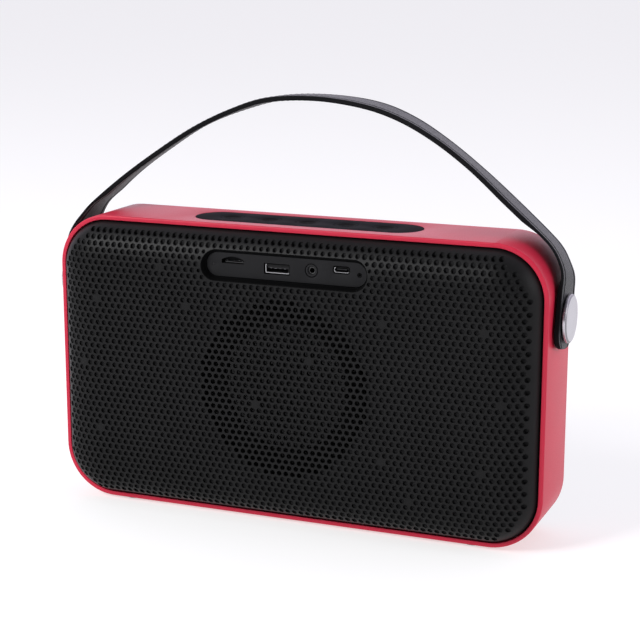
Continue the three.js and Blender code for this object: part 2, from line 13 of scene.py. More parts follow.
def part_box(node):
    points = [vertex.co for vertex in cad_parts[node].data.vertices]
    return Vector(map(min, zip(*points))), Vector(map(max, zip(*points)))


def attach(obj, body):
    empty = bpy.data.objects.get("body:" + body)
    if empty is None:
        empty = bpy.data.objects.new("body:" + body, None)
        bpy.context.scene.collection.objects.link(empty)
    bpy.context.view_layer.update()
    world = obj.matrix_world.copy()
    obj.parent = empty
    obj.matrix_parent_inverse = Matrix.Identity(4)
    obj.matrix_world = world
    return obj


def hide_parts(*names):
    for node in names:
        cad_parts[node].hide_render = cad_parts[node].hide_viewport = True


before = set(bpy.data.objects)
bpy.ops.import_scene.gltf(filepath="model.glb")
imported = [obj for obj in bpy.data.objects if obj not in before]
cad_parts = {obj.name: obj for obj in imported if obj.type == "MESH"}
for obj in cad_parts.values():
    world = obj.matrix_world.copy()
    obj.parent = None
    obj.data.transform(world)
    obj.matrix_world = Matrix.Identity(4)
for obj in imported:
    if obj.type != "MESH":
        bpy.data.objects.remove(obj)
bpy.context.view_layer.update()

# ---- sizes, in millimetres, from the frame and from the design ----
MM = 0.001
X, Z = 0, 2


def node_box(node):
    low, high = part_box(node)
    return low / MM, high / MM


def node_middle(node, axis):
    low, high = node_box(node)
    return (low[axis] + high[axis]) / 2


BAND_LOW, BAND_HIGH = node_box("outer_band")
BASE_Z = BAND_LOW.z                     # underside of the band
TOP_Z = BAND_HIGH.z
MID_Z = (BASE_Z + TOP_Z) / 2
HALF_LENGTH = BAND_HIGH.x
HALF_HEIGHT = (TOP_Z - BASE_Z) / 2
RIM_Y = BAND_HIGH.y
CORNER_R = 26.5
BAND_WALL = 2.25
GAP = 0.3

PANEL_FACE_Y = node_box("front_panel")[1].y
PANEL_INSET = HALF_LENGTH - node_box("front_panel")[1].x
PANEL_SINK = 3
PANEL_CROWN = PANEL_FACE_Y - RIM_Y + PANEL_SINK
PANEL_ROLL = 27
PANEL_POWER = 2.6
PANEL_SKIRT = 1.6
PANEL_T = 2
PANEL_EDGE_Y = RIM_Y - PANEL_SINK
PANEL_R = CORNER_R - PANEL_INSET

HOLE_PITCH = 3.53
HOLE_ROW = HOLE_PITCH * math.sqrt(3) / 2
HOLE_R = 1.27
HOLE_ROUND = 0.16
HOLE_SIDES = 10
DIMPLE_DEPTH = 1.25
ROWS = 22                               # rows of holes above and below the middle one
ROW_ENDS = {22: 30, 21: 30.5, 20: 32, 19: 32.5, 18: 33, 17: 33.5}   # last hole in the corner rows
FULL_ROW_END = 34

RADIATOR_Z = node_middle("radiator_plate", Z)
RADIATOR_OPEN_R = 43.5
DRIVER_X = node_middle("right_driver_cone", X)
DRIVER_Z = node_middle("right_driver_cone", Z)
DRIVER_OPEN_R = 29

PORT_Z = BASE_Z + 129
PORT_LENGTH, PORT_HEIGHT, PORT_SLOPE, PORT_COLLAR = 86.5, 15, 1.3, 1.6
PORT_FLOOR_Y, PORT_SEAT_Y = -28.3, -26.2

KEYPAD_LENGTH, KEYPAD_WIDTH, KEY_PITCH, KEY_R = 119.4, 26, 20.25, 6
KEYS = ("phone", "previous", "play", "next", "mode")

PIVOT_Z = BASE_Z + 110.5
SIDES = (("left", -1), ("right", 1))


# ---- materials ----
def set_inputs(node, **values):
    """Sets a node's inputs. An underscore stands for a space in an input's name."""
    for name, value in values.items():
        node.inputs[name.replace("_", " ")].default_value = value


def new_node(tree, kind, **values):
    node = tree.nodes.new(f"ShaderNode{kind}")
    set_inputs(node, **values)
    return node


def texture(tree, kind, scale, **values):
    """A texture in object coordinates, with its scale in features per millimetre."""
    node = new_node(tree, kind, Scale=scale / MM, **values)
    tree.links.new(new_node(tree, "TexCoord").outputs["Object"], node.inputs["Vector"])
    return node


def ranged(tree, source, low, high, start=0.3, stop=0.7):
    """Maps a texture's value between start and stop to a number between low and high."""
    node = new_node(tree, "MapRange", From_Min=start, From_Max=stop, To_Min=low, To_Max=high)
    tree.links.new(source, node.inputs["Value"])
    return node.outputs["Result"]


def tinted(tree, source, dark, light):
    """Mixes two colours by a texture's value."""
    mix = new_node(tree, "Mix")
    mix.data_type = "RGBA"
    set_inputs(mix, A=(*dark, 1), B=(*light, 1))
    tree.links.new(ranged(tree, source, 0, 1), mix.inputs["Factor"])
    return mix.outputs["Result"]


def bumped(tree, source, depth, under=None):
    """A bump of the given depth in millimetres."""
    bump = new_node(tree, "Bump", Strength=1.0, Distance=depth * MM)
    tree.links.new(source, bump.inputs["Height"])
    if under is not None:
        tree.links.new(under, bump.inputs["Normal"])
    return bump.outputs["Normal"]


def new_material(name, **values):
    """A plain material with its shader's inputs set, and that shader."""
    made = bpy.data.materials.new(name)
    made.use_nodes = True
    shader = made.node_tree.nodes["Principled BSDF"]
    set_inputs(shader, **values)
    return made, shader


def material(name, color, roughness, metallic=0.0, vary=0.08, blotch=0.06, grain=2.5, depth=0.01,
             rough_vary=0.05, specular=0.5):
    """A surface whose colour wanders a little over blotches. Its fine grain sets bump and roughness."""
    made, shader = new_material(name, Metallic=metallic, Specular_IOR_Level=specular)
    tree = made.node_tree
    wide = texture(tree, "TexNoise", blotch, Detail=3.0)
    fine = texture(tree, "TexNoise", grain, Detail=2.0)
    dark = [c * (1 - vary) for c in color]
    light = [min(1, c * (1 + vary)) for c in color]
    tree.links.new(tinted(tree, wide.outputs["Fac"], dark, light), shader.inputs["Base Color"])
    rough = ranged(tree, fine.outputs["Fac"], roughness - rough_vary, roughness + rough_vary)
    tree.links.new(rough, shader.inputs["Roughness"])
    tree.links.new(bumped(tree, fine.outputs["Fac"], depth), shader.inputs["Normal"])
    return made


def leather_material(name, color, roughness, pebble=0.9, depth=0.07, specular=0.18):
    """Pebbled leather: cells with creases between them, over a quick wander of colour."""
    made = material(name, color, roughness, vary=0.45, blotch=0.7, grain=6, depth=0.02, specular=specular)
    tree = made.node_tree
    shader = tree.nodes["Principled BSDF"]
    fine_normal = shader.inputs["Normal"].links[0].from_socket
    cells = texture(tree, "TexVoronoi", pebble)
    cells.feature = "DISTANCE_TO_EDGE"
    domes = ranged(tree, cells.outputs["Distance"], 0, 1, 0.0, 0.32)
    tree.links.new(bumped(tree, domes, depth, under=fine_normal), shader.inputs["Normal"])
    return made


def plastic(name, color, roughness, **more):
    return material(name, color, roughness, grain=3.2, **more)


def metal(name, color, roughness, **more):
    return material(name, color, roughness, metallic=1.0, **more)


RED = material("satin_red_lacquer", (0.52, 0.0165, 0.047), 0.4, vary=0.03, grain=1.6, depth=0.004,
               specular=0.25)
BLACK = plastic("moulded_black", (0.0075, 0.0075, 0.0078), 0.45, vary=0.1, depth=0.012, specular=0.12)
# dimple floors: a lighter copy of the moulded black, painted light on the floors of the blind holes
DIMPLE_FLOOR_PAINTED_LIGHT = plastic("dimple_floor_painted_light", (0.0135, 0.0135, 0.0142), 0.6, depth=0.02, specular=0.08)
# recess walls: a darker copy of the moulded black, painted shade
RECESS_PAINTED_SHADE = plastic("recess_wall_painted_shade", (0.0028, 0.0028, 0.003), 0.6, depth=0.02, specular=0.04)
PORT_BLACK = plastic("port_black", (0.0105, 0.0105, 0.0115), 0.5, depth=0.012, specular=0.12)
INNER_BLACK = material("inner_black", (0.008, 0.008, 0.009), 0.6, grain=3, depth=0.02, specular=0.2)
PAD_GREY = material("keypad_grey", (0.0155, 0.0145, 0.018), 0.85, grain=4, specular=0.03)
# key dishes: a darker copy of the keypad grey, painted shade in the dishes
KEY_DISH_PAINTED_SHADE = material("key_dish_painted_shade", (0.01, 0.009, 0.0105), 0.75, grain=4, specular=0.03)
ICON_GREY = material("key_icon", (0.004, 0.004, 0.005), 0.8, grain=4, depth=0.004, specular=0.03)
LEATHER = leather_material("strap_leather", (0.021, 0.021, 0.024), 0.42, depth=0.11, specular=0.2)
# inner face: a lining lighter than the outer leather, partly its own tone and partly painted sheen
LINING_AND_PAINTED_SHEEN = leather_material("strap_lining_and_painted_sheen", (0.04, 0.038, 0.042), 0.5, pebble=1.4, depth=0.05)
# edge paint on the strap's edges and ends; the same dark paint in the stitch grooves is painted shade
EDGE_PAINT_AND_GROOVE_SHADE = material("strap_edge_paint_and_groove_shade", (0.0065, 0.0065, 0.0075), 0.7, grain=1.2, depth=0.03,
                      specular=0.05)
THREAD = material("thread", (0.03, 0.03, 0.033), 0.75, grain=7, depth=0.04, specular=0.2)
SILVER = metal("satin_silver", (0.54, 0.525, 0.56), 0.3, vary=0.03, grain=3.0, depth=0.003, rough_vary=0.06)
CAP_FACE = metal("brushed_silver", (0.54, 0.53, 0.56), 0.36, vary=0.05, grain=1.4, depth=0.006,
                 rough_vary=0.08)
CAP_BEVEL = metal("shaded_silver", (0.24, 0.235, 0.25), 0.35, vary=0.03, grain=3.0, depth=0.003)
STEEL = metal("plated_steel", (0.4, 0.4, 0.41), 0.3, vary=0.06, depth=0.004)
# a darker copy of the plated steel: painted shade on metal set deep in the card slot and the jack's bore
STEEL_PAINTED_SHADE = metal("steel_painted_shade", (0.09, 0.09, 0.09), 0.35, vary=0.06, depth=0.004)
# a near-black copy of the shell's steel: painted shade on its shadowed edges
SHELL_EDGE_PAINTED_SHADE = metal("shell_edge_painted_shade", (0.02, 0.02, 0.02), 0.4, depth=0.004)
# radiator disc: a grey lighter than its black plastic, painted light on the disc behind the open holes
DISC_PAINTED_LIGHT = material("radiator_disc_painted_light", (0.05, 0.05, 0.052), 0.5, grain=2.0)
RUBBER = material("black_rubber", (0.011, 0.011, 0.011), 0.72, grain=2.2, depth=0.02)
PAPER = material("pressed_paper", (0.022, 0.021, 0.02), 0.8, vary=0.2, grain=1.4, depth=0.06)
FERRITE = material("ferrite", (0.03, 0.03, 0.032), 0.55, vary=0.2, grain=1.8, depth=0.03)
BOARD = material("solder_mask", (0.012, 0.085, 0.035), 0.35, vary=0.1, grain=1.5, depth=0.006)
SLEEVE = material("cell_sleeve", (0.02, 0.09, 0.34), 0.3, vary=0.04, grain=0.8)
LENS = material("light_lens", (0.012, 0.012, 0.013), 0.3, grain=1.0, depth=0.002, specular=0.2)


# ---- meshes ----
def placed(name, data):
    made = bpy.data.objects.new(name, data)
    bpy.context.scene.collection.objects.link(made)
    return made


def piece(name, points, faces, paint, body="cabinet", slot=None, replaces=(), sharp=35, normals=None):
    """A closed mesh from points in millimetres, riding on a CAD body. normals has one entry for each corner
    of each face."""
    mesh = bpy.data.meshes.new(name)
    mesh.from_pydata([Vector(p) * MM for p in points], [], faces)
    made = placed(name, mesh)
    for one in paint if isinstance(paint, list) else [paint]:
        mesh.materials.append(one)
    mesh.shade_smooth()
    if normals is not None:
        mesh.normals_split_custom_set(normals)
    else:
        mesh.set_sharp_from_angle(angle=math.radians(sharp))
    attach(made, body)
    if replaces:
        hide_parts(*replaces)
    return made


def paint_by(made, choose):
    """Paints each polygon with the number that choose gives for its middle, in millimetres, and itself."""
    for polygon in made.data.polygons:
        polygon.material_index = choose(polygon.center / MM, polygon)


def fillet(points, radius, steps=3, closed=False):
    """Rounds the corners of an outline. radius holds one number for each corner."""
    count = len(points)
    made = []
    for k, (point, r) in enumerate(zip(points, radius)):
        if r <= 0 or (not closed and k in (0, count - 1)):
            made.append(tuple(point))
            continue
        here = Vector(point)
        before = Vector(points[k - 1]) - here
        after = Vector(points[(k + 1) % count]) - here
        half = before.angle(after) / 2
        cut = min(r / math.tan(half), before.length * 0.48, after.length * 0.48)
        start = here + before.normalized() * cut
        stop = here + after.normalized() * cut
        for s in range(steps + 1):
            t = s / steps
            made.append(tuple(start * (1 - t) ** 2 + here * 2 * t * (1 - t) + stop * t ** 2))
    return made


def strip(low, high):
    """Quads between two closed loops of corners, of equal count."""
    count = len(low)
    return [(low[k], low[(k + 1) % count], high[(k + 1) % count], high[k]) for k in range(count)]


def revolve(profile, segments):
    """Points and faces of a body turned about local Z, from a profile of (radius, height)."""
    points, faces, rows = [], [], []
    for radius, height in profile:
        if radius < 1e-6:
            rows.append([len(points)] * segments)
            points.append((0, 0, height))
            continue
        rows.append(list(range(len(points), len(points) + segments)))
        for k in range(segments):
            angle = 2 * math.pi * k / segments
            points.append((radius * math.cos(angle), radius * math.sin(angle), height))
    closed = profile[0] == profile[-1]
    if closed:
        rows[-1] = rows[0]
        points = points[:len(points) - segments]
    for low, high in zip(rows, rows[1:]):
        for corners in strip(low, high):
            kept = [c for i, c in enumerate(corners) if c != corners[i - 1]]
            if len(kept) > 2:
                faces.append(tuple(kept))
    return points, faces


def facing_out(points, faces):
    """The faces, turned over where the body they close is inside out."""
    volume = 0.0
    for face in faces:
        a = Vector(points[face[0]])
        for k in range(1, len(face) - 1):
            volume += a.dot(Vector(points[face[k]]).cross(Vector(points[face[k + 1]])))
    return faces if volume > 0 else [tuple(reversed(face)) for face in faces]


ALONG_Y = Matrix(((1, 0, 0), (0, 0, 1), (0, 1, 0))).to_4x4()        # local Z becomes Y
ALONG_X = Matrix(((0, 0, 1), (1, 0, 0), (0, 1, 0))).to_4x4()        # local Z becomes X


def turned(name, profile, matrix, paint, segments=48, **where):
    points, faces = revolve(profile, segments)
    points = [matrix @ Vector(p) for p in points]
    return piece(name, points, facing_out(points, faces), paint, **where)


def at(x, y, z):
    return Matrix.Translation((x, y, z))


def outline_loop(half_width, half_height, radius, arc_steps=14, straight_step=3.6):
    """Points (x, z) round a rounded rectangle about the origin. The count stays the same while an inset
    shrinks the two halves and the radius alike."""
    points = []
    a, b = half_width - radius, half_height - radius
    for quarter, (sx, sz) in enumerate(((1, 1), (-1, 1), (-1, -1), (1, -1))):
        for k in range(arc_steps + 1):
            angle = (quarter + k / arc_steps) * math.pi / 2
            points.append((sx * a + radius * math.cos(angle), sz * b + radius * math.sin(angle)))
        side = 2 * (a if quarter % 2 == 0 else b)
        pieces = max(1, round(side / straight_step))
        direction = ((-1, 0), (0, -1), (1, 0), (0, 1))[quarter]
        x, z = points[-1]
        for k in range(1, pieces):
            travel = side * k / pieces
            points.append((x + direction[0] * travel, z + direction[1] * travel))
    return [p for k, p in enumerate(points) if math.dist(p, points[k - 1]) > 1e-6]


def stadium(length, width, outset, cz=0.0, arc_steps=8):
    """A slot's outline with half-round ends, moved out by outset."""
    radius = width / 2 + outset
    return [(x, z + cz) for x, z in outline_loop(length / 2 + outset, radius, radius, arc_steps)]


def circle(cx, cz, radius, sides):
    return [(cx + radius * math.cos(2 * math.pi * k / sides),
             cz + radius * math.sin(2 * math.pi * k / sides)) for k in range(sides)]


def filled(points, outline, holes=()):
    """Triangles over the region inside the outline and outside the holes, anticlockwise. points are (u, v);
    the outline and the holes are lists of indices. Free points inside become corners too."""
    edges = [(loop[k - 1], loop[k]) for loop in [outline, *holes] for k in range(len(loop))]
    flat = [Vector(p) for p in points]
    _, _, faces, origins, _, _ = delaunay_2d_cdt(flat, edges, [], 1, 1e-6)
    hole_of = {k: number for number, loop in enumerate(holes) for k in loop}
    source = [origin[0] if origin else None for origin in origins]
    made = []
    for face in faces:
        corners = [source[k] for k in face]
        owners = {hole_of.get(k) for k in corners}
        if len(owners) == 1 and None not in owners:
            continue
        (ax, ay), (bx, by), (cx, cy) = (flat[k] for k in corners)
        if (bx - ax) * (cy - ay) - (by - ay) * (cx - ax) < 0:
            corners.reverse()
        made.append(tuple(corners))
    return made


# ---- the pillow-shaped panels ----
BORDER_INSETS = (0, 0.1, 0.25, 0.5, 0.8, 1.2, 1.7)     # rings of the rolled border, close where it is steep
BORDER_CLEAR = 3.2                                     # from the edge to the first free point
MOUTH_CLEAR = 1.5                                      # the same round the socket recess
SPARE_ROWS, SPARE_COLUMNS = range(-12, 11), range(-20, 21)
SPARE_STEP = 4                                         # of that coarse grid on the inner face, in hole rows


def panel_distance(x, z):
    """How far a point lies inside the panel's outline, and the direction inwards."""
    reach_x = abs(x) - (HALF_LENGTH - PANEL_INSET - PANEL_R)
    reach_z = abs(z - MID_Z) - (HALF_HEIGHT - PANEL_INSET - PANEL_R)
    sx, sz = math.copysign(1, x), math.copysign(1, z - MID_Z)
    if reach_x > 0 and reach_z > 0:
        reach = math.hypot(reach_x, reach_z)
        return PANEL_R - reach, (-sx * reach_x / reach, -sz * reach_z / reach)
    if reach_x > reach_z:
        return PANEL_R - reach_x, (-sx, 0)
    return PANEL_R - reach_z, (0, -sz)


def crown(distance):
    """Rise of the panel above its edge, and the slope there."""
    if distance >= PANEL_ROLL:
        return PANEL_CROWN, 0.0
    t = 1 - max(distance, 1e-4) / PANEL_ROLL
    root = math.sqrt(1 - t ** PANEL_POWER)
    return PANEL_CROWN * root, PANEL_CROWN * PANEL_POWER * t ** (PANEL_POWER - 1) / (2 * PANEL_ROLL * root)


def skin(side, x, z, depth=0.0):
    """Y of the panel's outer face, or with depth of its inner face, and the outward normal there."""
    distance, (gx, gz) = panel_distance(x, z)
    rise, slope = crown(distance - depth)
    normal = Vector((-slope * gx, side, -slope * gz)).normalized()
    return side * (PANEL_EDGE_Y - depth + rise), normal


class Shell:
    """Points, faces and a normal for every face corner, with the paint of the faces that differ."""

    def __init__(self):
        self.points, self.faces, self.normals, self.paint = [], [], [], {}

    def add(self, points):
        first = len(self.points)
        self.points.extend(points)
        return list(range(first, len(self.points)))

    def face(self, corners, normals, paint=0):
        if paint:
            self.paint[len(self.faces)] = paint
        self.faces.append(tuple(corners))
        self.normals.extend(normals)

    def band(self, low, high, low_normals, high_normals):
        for corners, normals in zip(strip(low, high), strip(low_normals, high_normals)):
            self.face(corners, normals)

    def turn_over(self):
        """Reverses every face, with its corner normals."""
        faces, normals, start = [], [], 0
        for face in self.faces:
            faces.append(tuple(reversed(face)))
            normals.extend(reversed(self.normals[start:start + len(face)]))
            start += len(face)
        self.faces, self.normals = faces, normals


class Sheet:
    """Flat (x, z) points of a face to be filled, with their places and normals on the panel's skin."""

    def __init__(self, side, depth=0.0):
        self.side, self.depth = side, depth
        self.flat, self.points, self.normals = [], [], []

    def lay(self, loop):
        first = len(self.flat)
        for x, z in loop:
            y, normal = skin(self.side, x, z, self.depth)
            self.flat.append((x, z))
            self.points.append((x, y, z))
            self.normals.append(normal)
        return list(range(first, len(self.flat)))


def lattice():
    """Every hole position, as (u, v, x, z) with u and v in pitches and rows counted from the middle."""
    for v in range(-ROWS, ROWS + 1):
        end = ROW_ENDS.get(abs(v), FULL_ROW_END - (v % 2) / 2)
        u = -end
        while u <= end:
            yield u, v, u * HOLE_PITCH, MID_Z + v * HOLE_ROW
            u += 1


def free_points(holes, has_mouth):
    """Lattice points without a hole, which keep the triangles between the holes even."""
    taken = {(round(x, 2), round(z, 2)) for x, z, _, _, _ in holes}
    for v in range(-ROWS, ROWS + 1):
        for half in range(-2 * FULL_ROW_END - 1, 2 * FULL_ROW_END + 2):
            x, z = half / 2 * HOLE_PITCH, MID_Z + v * HOLE_ROW
            if (half + v) % 2 or (round(x, 2), round(z, 2)) in taken:
                continue
            if has_mouth and mouth_distance(x, z) <= MOUTH_CLEAR:
                continue
            if panel_distance(x, z)[0] > BORDER_CLEAR:
                yield x, z


def spare_points(holes, has_mouth):
    """A coarse grid over the inner face, clear of its edges and of the holes that go through."""
    open_spots = [(x, z) for x, z, _, through, _ in holes if through]
    for row in SPARE_ROWS:
        for column in SPARE_COLUMNS:
            x = (column + row % 2 / 2) * SPARE_STEP * 1.6 * HOLE_PITCH / 2
            z = MID_Z + row * SPARE_STEP * HOLE_ROW / 2
            if panel_distance(x, z)[0] < PANEL_T + 1.2:
                continue
            if any(math.hypot(x - ox, z - oz) < HOLE_R + 0.5 for ox, oz in open_spots):
                continue
            if not has_mouth or mouth_distance(x, z) >= PORT_COLLAR + MOUTH_CLEAR:
                yield x, z


def panel_ring(inset):
    loop = outline_loop(HALF_LENGTH - PANEL_INSET - inset, HALF_HEIGHT - PANEL_INSET - inset,
                        PANEL_R - inset)
    return [(x, z + MID_Z) for x, z in loop]


def rolled_border(shell, side):
    """The rings of the border as (corners, normals), from the rim to where the holes begin."""
    rings = []
    for inset in BORDER_INSETS:
        flat = panel_ring(inset)
        surface = [skin(side, x, z) for x, z in flat]
        corners = shell.add([(x, y, z) for (x, z), (y, _) in zip(flat, surface)])
        rings.append((corners, [normal for _, normal in surface]))
    for (low, low_normals), (high, high_normals) in zip(rings, rings[1:]):
        shell.band(low, high, low_normals, high_normals)
    return rings


def sink_holes(shell, side, holes, index, normals):
    """The lip and wall of every hole, with a floor in the blind ones. Gives the inner ends of the through
    ones, as (outline, corners)."""
    inner_ends = []
    for x, z, hole_r, through, loop in holes:
        rim = circle(x, z, hole_r, HOLE_SIDES)
        surface = [skin(side, px, pz)[0] for px, pz in rim]
        wall_normals = [Vector((x - px, 0, z - pz)).normalized() for px, pz in rim]
        top_normals = [normals[k] for k in loop]
        lip = shell.add([(px, y - side * HOLE_ROUND, pz) for (px, pz), y in zip(rim, surface)])
        lip_normals = [(wall + 0.3 * top).normalized() for wall, top in zip(wall_normals, top_normals)]
        shell.band([index[k] for k in loop], lip, top_normals, lip_normals)
        if through:
            low = shell.add([(px, y - side * PANEL_T, pz) for (px, pz), y in zip(rim, surface)])
            inner_ends.append((rim, low))
        else:
            floor_y = min(abs(skin(side, x, z)[0]) - DIMPLE_DEPTH, min(abs(y) for y in surface) - 0.45)
            low = shell.add([(px, side * floor_y, pz) for px, pz in rim])
            # the floor takes the lighter black, painted light
            shell.face(low, [Vector((0, side, 0))] * HOLE_SIDES, 1)
        shell.band(lip, low, lip_normals, wall_normals)
    return inner_ends


def sink_mouth(shell, side, above, steps):
    """Flat walls in painted shade from the corners above down the steps, each a loop with its depths, or
    None on the inner face. Gives the last corners."""
    for loop, depths in steps:
        below = shell.add([(x, y if y is not None else skin(side, x, z, PANEL_T)[0], z)
                           for (x, z), y in zip(loop, depths)])
        for corners in strip(above, below):
            a, b, c, d = (Vector(shell.points[i]) for i in corners)
            shell.face(corners, [(c - a).cross(d - b).normalized()] * 4, 2)
        above = below
    return above


def skirt(shell, side, rim, rim_normals, inner_ring):
    """The upright edge below the rim. Gives the corners where it meets the inner face."""
    y = side * (PANEL_EDGE_Y - PANEL_SKIRT)
    outside = shell.add([(x, y, z) for x, z in panel_ring(0)])
    inside = shell.add([(x, y, z) for x, z in inner_ring])
    out = [Vector((n.x, 0, n.z)).normalized() for n in rim_normals]
    shell.band(outside, rim, out, out)
    down = [Vector((0, -side, 0))] * len(outside)
    shell.band(inside, outside, down, down)
    return inside


def panel(name, side, is_open, kept_radius, paint, mouth=None, **where):
    """One panel: rolled border, holes of the kept radius, blind ones or through ones where is_open says so,
    and a mouth if given, as its edge, its steps and its outline on the inner face."""
    shell = Shell()
    rings = rolled_border(shell, side)
    border = rings[-1][0]

    # the face between the holes
    face = Sheet(side)
    outline = face.lay([(shell.points[k][0], shell.points[k][2]) for k in border])
    holes = []
    for u, v, x, z in lattice():
        hole_r = kept_radius(u, v, x, z)
        if hole_r:
            loop = face.lay(circle(x, z, hole_r + HOLE_ROUND, HOLE_SIDES))
            holes.append((x, z, hole_r, is_open(x, z), loop))
    face.lay(free_points(holes, mouth is not None))
    loops = [hole[-1] for hole in holes]
    if mouth is not None:
        loops.append(face.lay(mouth[0]))
    index = [*border, *shell.add(face.points[len(border):])]
    for corners in filled(face.flat, outline, loops):
        shell.face([index[k] for k in corners], [face.normals[k] for k in corners])
    inner_ends = sink_holes(shell, side, holes, index, face.normals)
    if mouth is not None:
        above = [index[k] for k in loops[-1]]
        inner_ends.append((mouth[2], sink_mouth(shell, side, above, mouth[1])))

    # the skirt and the inner face
    inner = Sheet(side, PANEL_T)
    inner_ring = panel_ring(PANEL_T + 0.02)
    index = skirt(shell, side, *rings[0], inner_ring)
    outline = inner.lay(inner_ring)
    loops = []
    for rim, corners in inner_ends:
        loops.append(inner.lay(rim))
        index.extend(corners)
    count = len(inner.flat)
    inner.lay(spare_points(holes, mouth is not None))
    index.extend(shell.add(inner.points[count:]))
    for corners in filled(inner.flat, outline, loops):
        shell.face([index[k] for k in reversed(corners)], [-inner.normals[k] for k in reversed(corners)])
    if side > 0:
        shell.turn_over()
    made = piece(name, shell.points, shell.faces, paint, normals=shell.normals, **where)
    for k, number in shell.paint.items():
        made.data.polygons[k].material_index = number


def mouth_distance(x, z):
    """How far a point lies outside the socket recess."""
    radius = PORT_HEIGHT / 2
    return math.hypot(max(abs(x) - (PORT_LENGTH / 2 - radius), 0), z - PORT_Z) - radius


def port_outline(outset):
    return stadium(PORT_LENGTH, PORT_HEIGHT, outset, PORT_Z)


# positions on the rear panel that have neither a dimple nor a hole
BLOCKED = {(28.5, 11), (-28.5, 11), (28.5, -11), (-28.5, -11), (14.5, 11), (-14.5, 11), (14.5, -11),
           (31, 0), (-31, 0), (4, 4), (-4, -4), (-18.5, 17), (18.5, -17)}
MOUTH_LIP = 0.07                        # width of the rounded edge outside the recess
SMALLEST_HOLE_R = 0.8


def rear_panel():
    def is_open(x, z):
        return math.hypot(x, z - RADIATOR_Z) < RADIATOR_OPEN_R

    def kept_radius(u, v, x, z):
        room = mouth_distance(x, z) - HOLE_ROUND - MOUTH_LIP - 0.22
        return 0 if (u, v) in BLOCKED or room < SMALLEST_HOLE_R else min(HOLE_R, room)

    steps = []
    for outset, depth in ((MOUTH_LIP * 0.3 - 0.08, 0.08), (-0.26, 0.3)):
        loop = port_outline(outset)
        steps.append((loop, [skin(-1, x, z)[0] + depth for x, z in loop]))
    for outset, y in ((-PORT_SLOPE + 0.25, PORT_FLOOR_Y - 0.15), (-PORT_SLOPE, PORT_FLOOR_Y + 0.15),
                      (-PORT_SLOPE, PORT_SEAT_Y), (PORT_COLLAR, PORT_SEAT_Y), (PORT_COLLAR, None)):
        loop = port_outline(outset)
        steps.append((loop, [y] * len(loop)))
    mouth = (port_outline(MOUTH_LIP), steps, port_outline(PORT_COLLAR))
    panel("rear_grille", -1, is_open, kept_radius, [BLACK, DIMPLE_FLOOR_PAINTED_LIGHT, RECESS_PAINTED_SHADE], mouth,
          slot="panel_black", replaces=["rear_panel"])


def front_panel():
    def is_open(x, z):
        return math.hypot(abs(x) - DRIVER_X, z - DRIVER_Z) < DRIVER_OPEN_R

    panel("front_grille", 1, is_open, lambda u, v, x, z: HOLE_R, [BLACK, DIMPLE_FLOOR_PAINTED_LIGHT],
          slot="panel_black", replaces=["front_panel"])


# ---- flat plates with holes ----
def plate(outer, holes):
    """Points (u, v, w) and faces of a flat body. outer is its outlines with their w, from front to back.
    Each hole is the same, and one that stops short of the back ends in a floor."""
    points, faces = [], []

    def add(stack):
        rows = []
        for loop, w in stack:
            rows.append(list(range(len(points), len(points) + len(loop))))
            points.extend((u, v, w) for u, v in loop)
        return rows

    outside = add(outer)
    for front, back in zip(outside, outside[1:]):
        faces.extend(strip(back, front))
    stacks = [add(hole) for hole in holes]
    for stack in stacks:
        for front, back in zip(stack, stack[1:]):
            faces.extend(strip(front, back))
    through = [abs(hole[-1][1] - outer[-1][1]) < 1e-6 for hole in holes]
    for end, flip in ((0, False), (-1, True)):
        open_here = [stack[end] for stack, is_through in zip(stacks, through) if end == 0 or is_through]
        used = [*outside[end], *(k for loop in open_here for k in loop)]
        place = {k: number for number, k in enumerate(used)}
        loops = [[place[k] for k in loop] for loop in (outside[end], *open_here)]
        for face in filled([points[k][:2] for k in used], loops[0], loops[1:]):
            corners = [used[k] for k in face]
            faces.append(tuple(reversed(corners)) if flip else tuple(corners))
    faces.extend(tuple(stack[-1]) for stack, is_through in zip(stacks, through) if not is_through)
    return points, faces


def flat_piece(name, outer, holes, place, paint, **where):
    """A plate whose (u, v, w) are put in the frame by place."""
    points, faces = plate(outer, holes)
    points = [place(*p) for p in points]
    return piece(name, points, facing_out(points, faces), paint, **where)


def facing_rear(u, v, w):
    return u, w, v


def facing_up(u, v, w):
    return u, v, -w


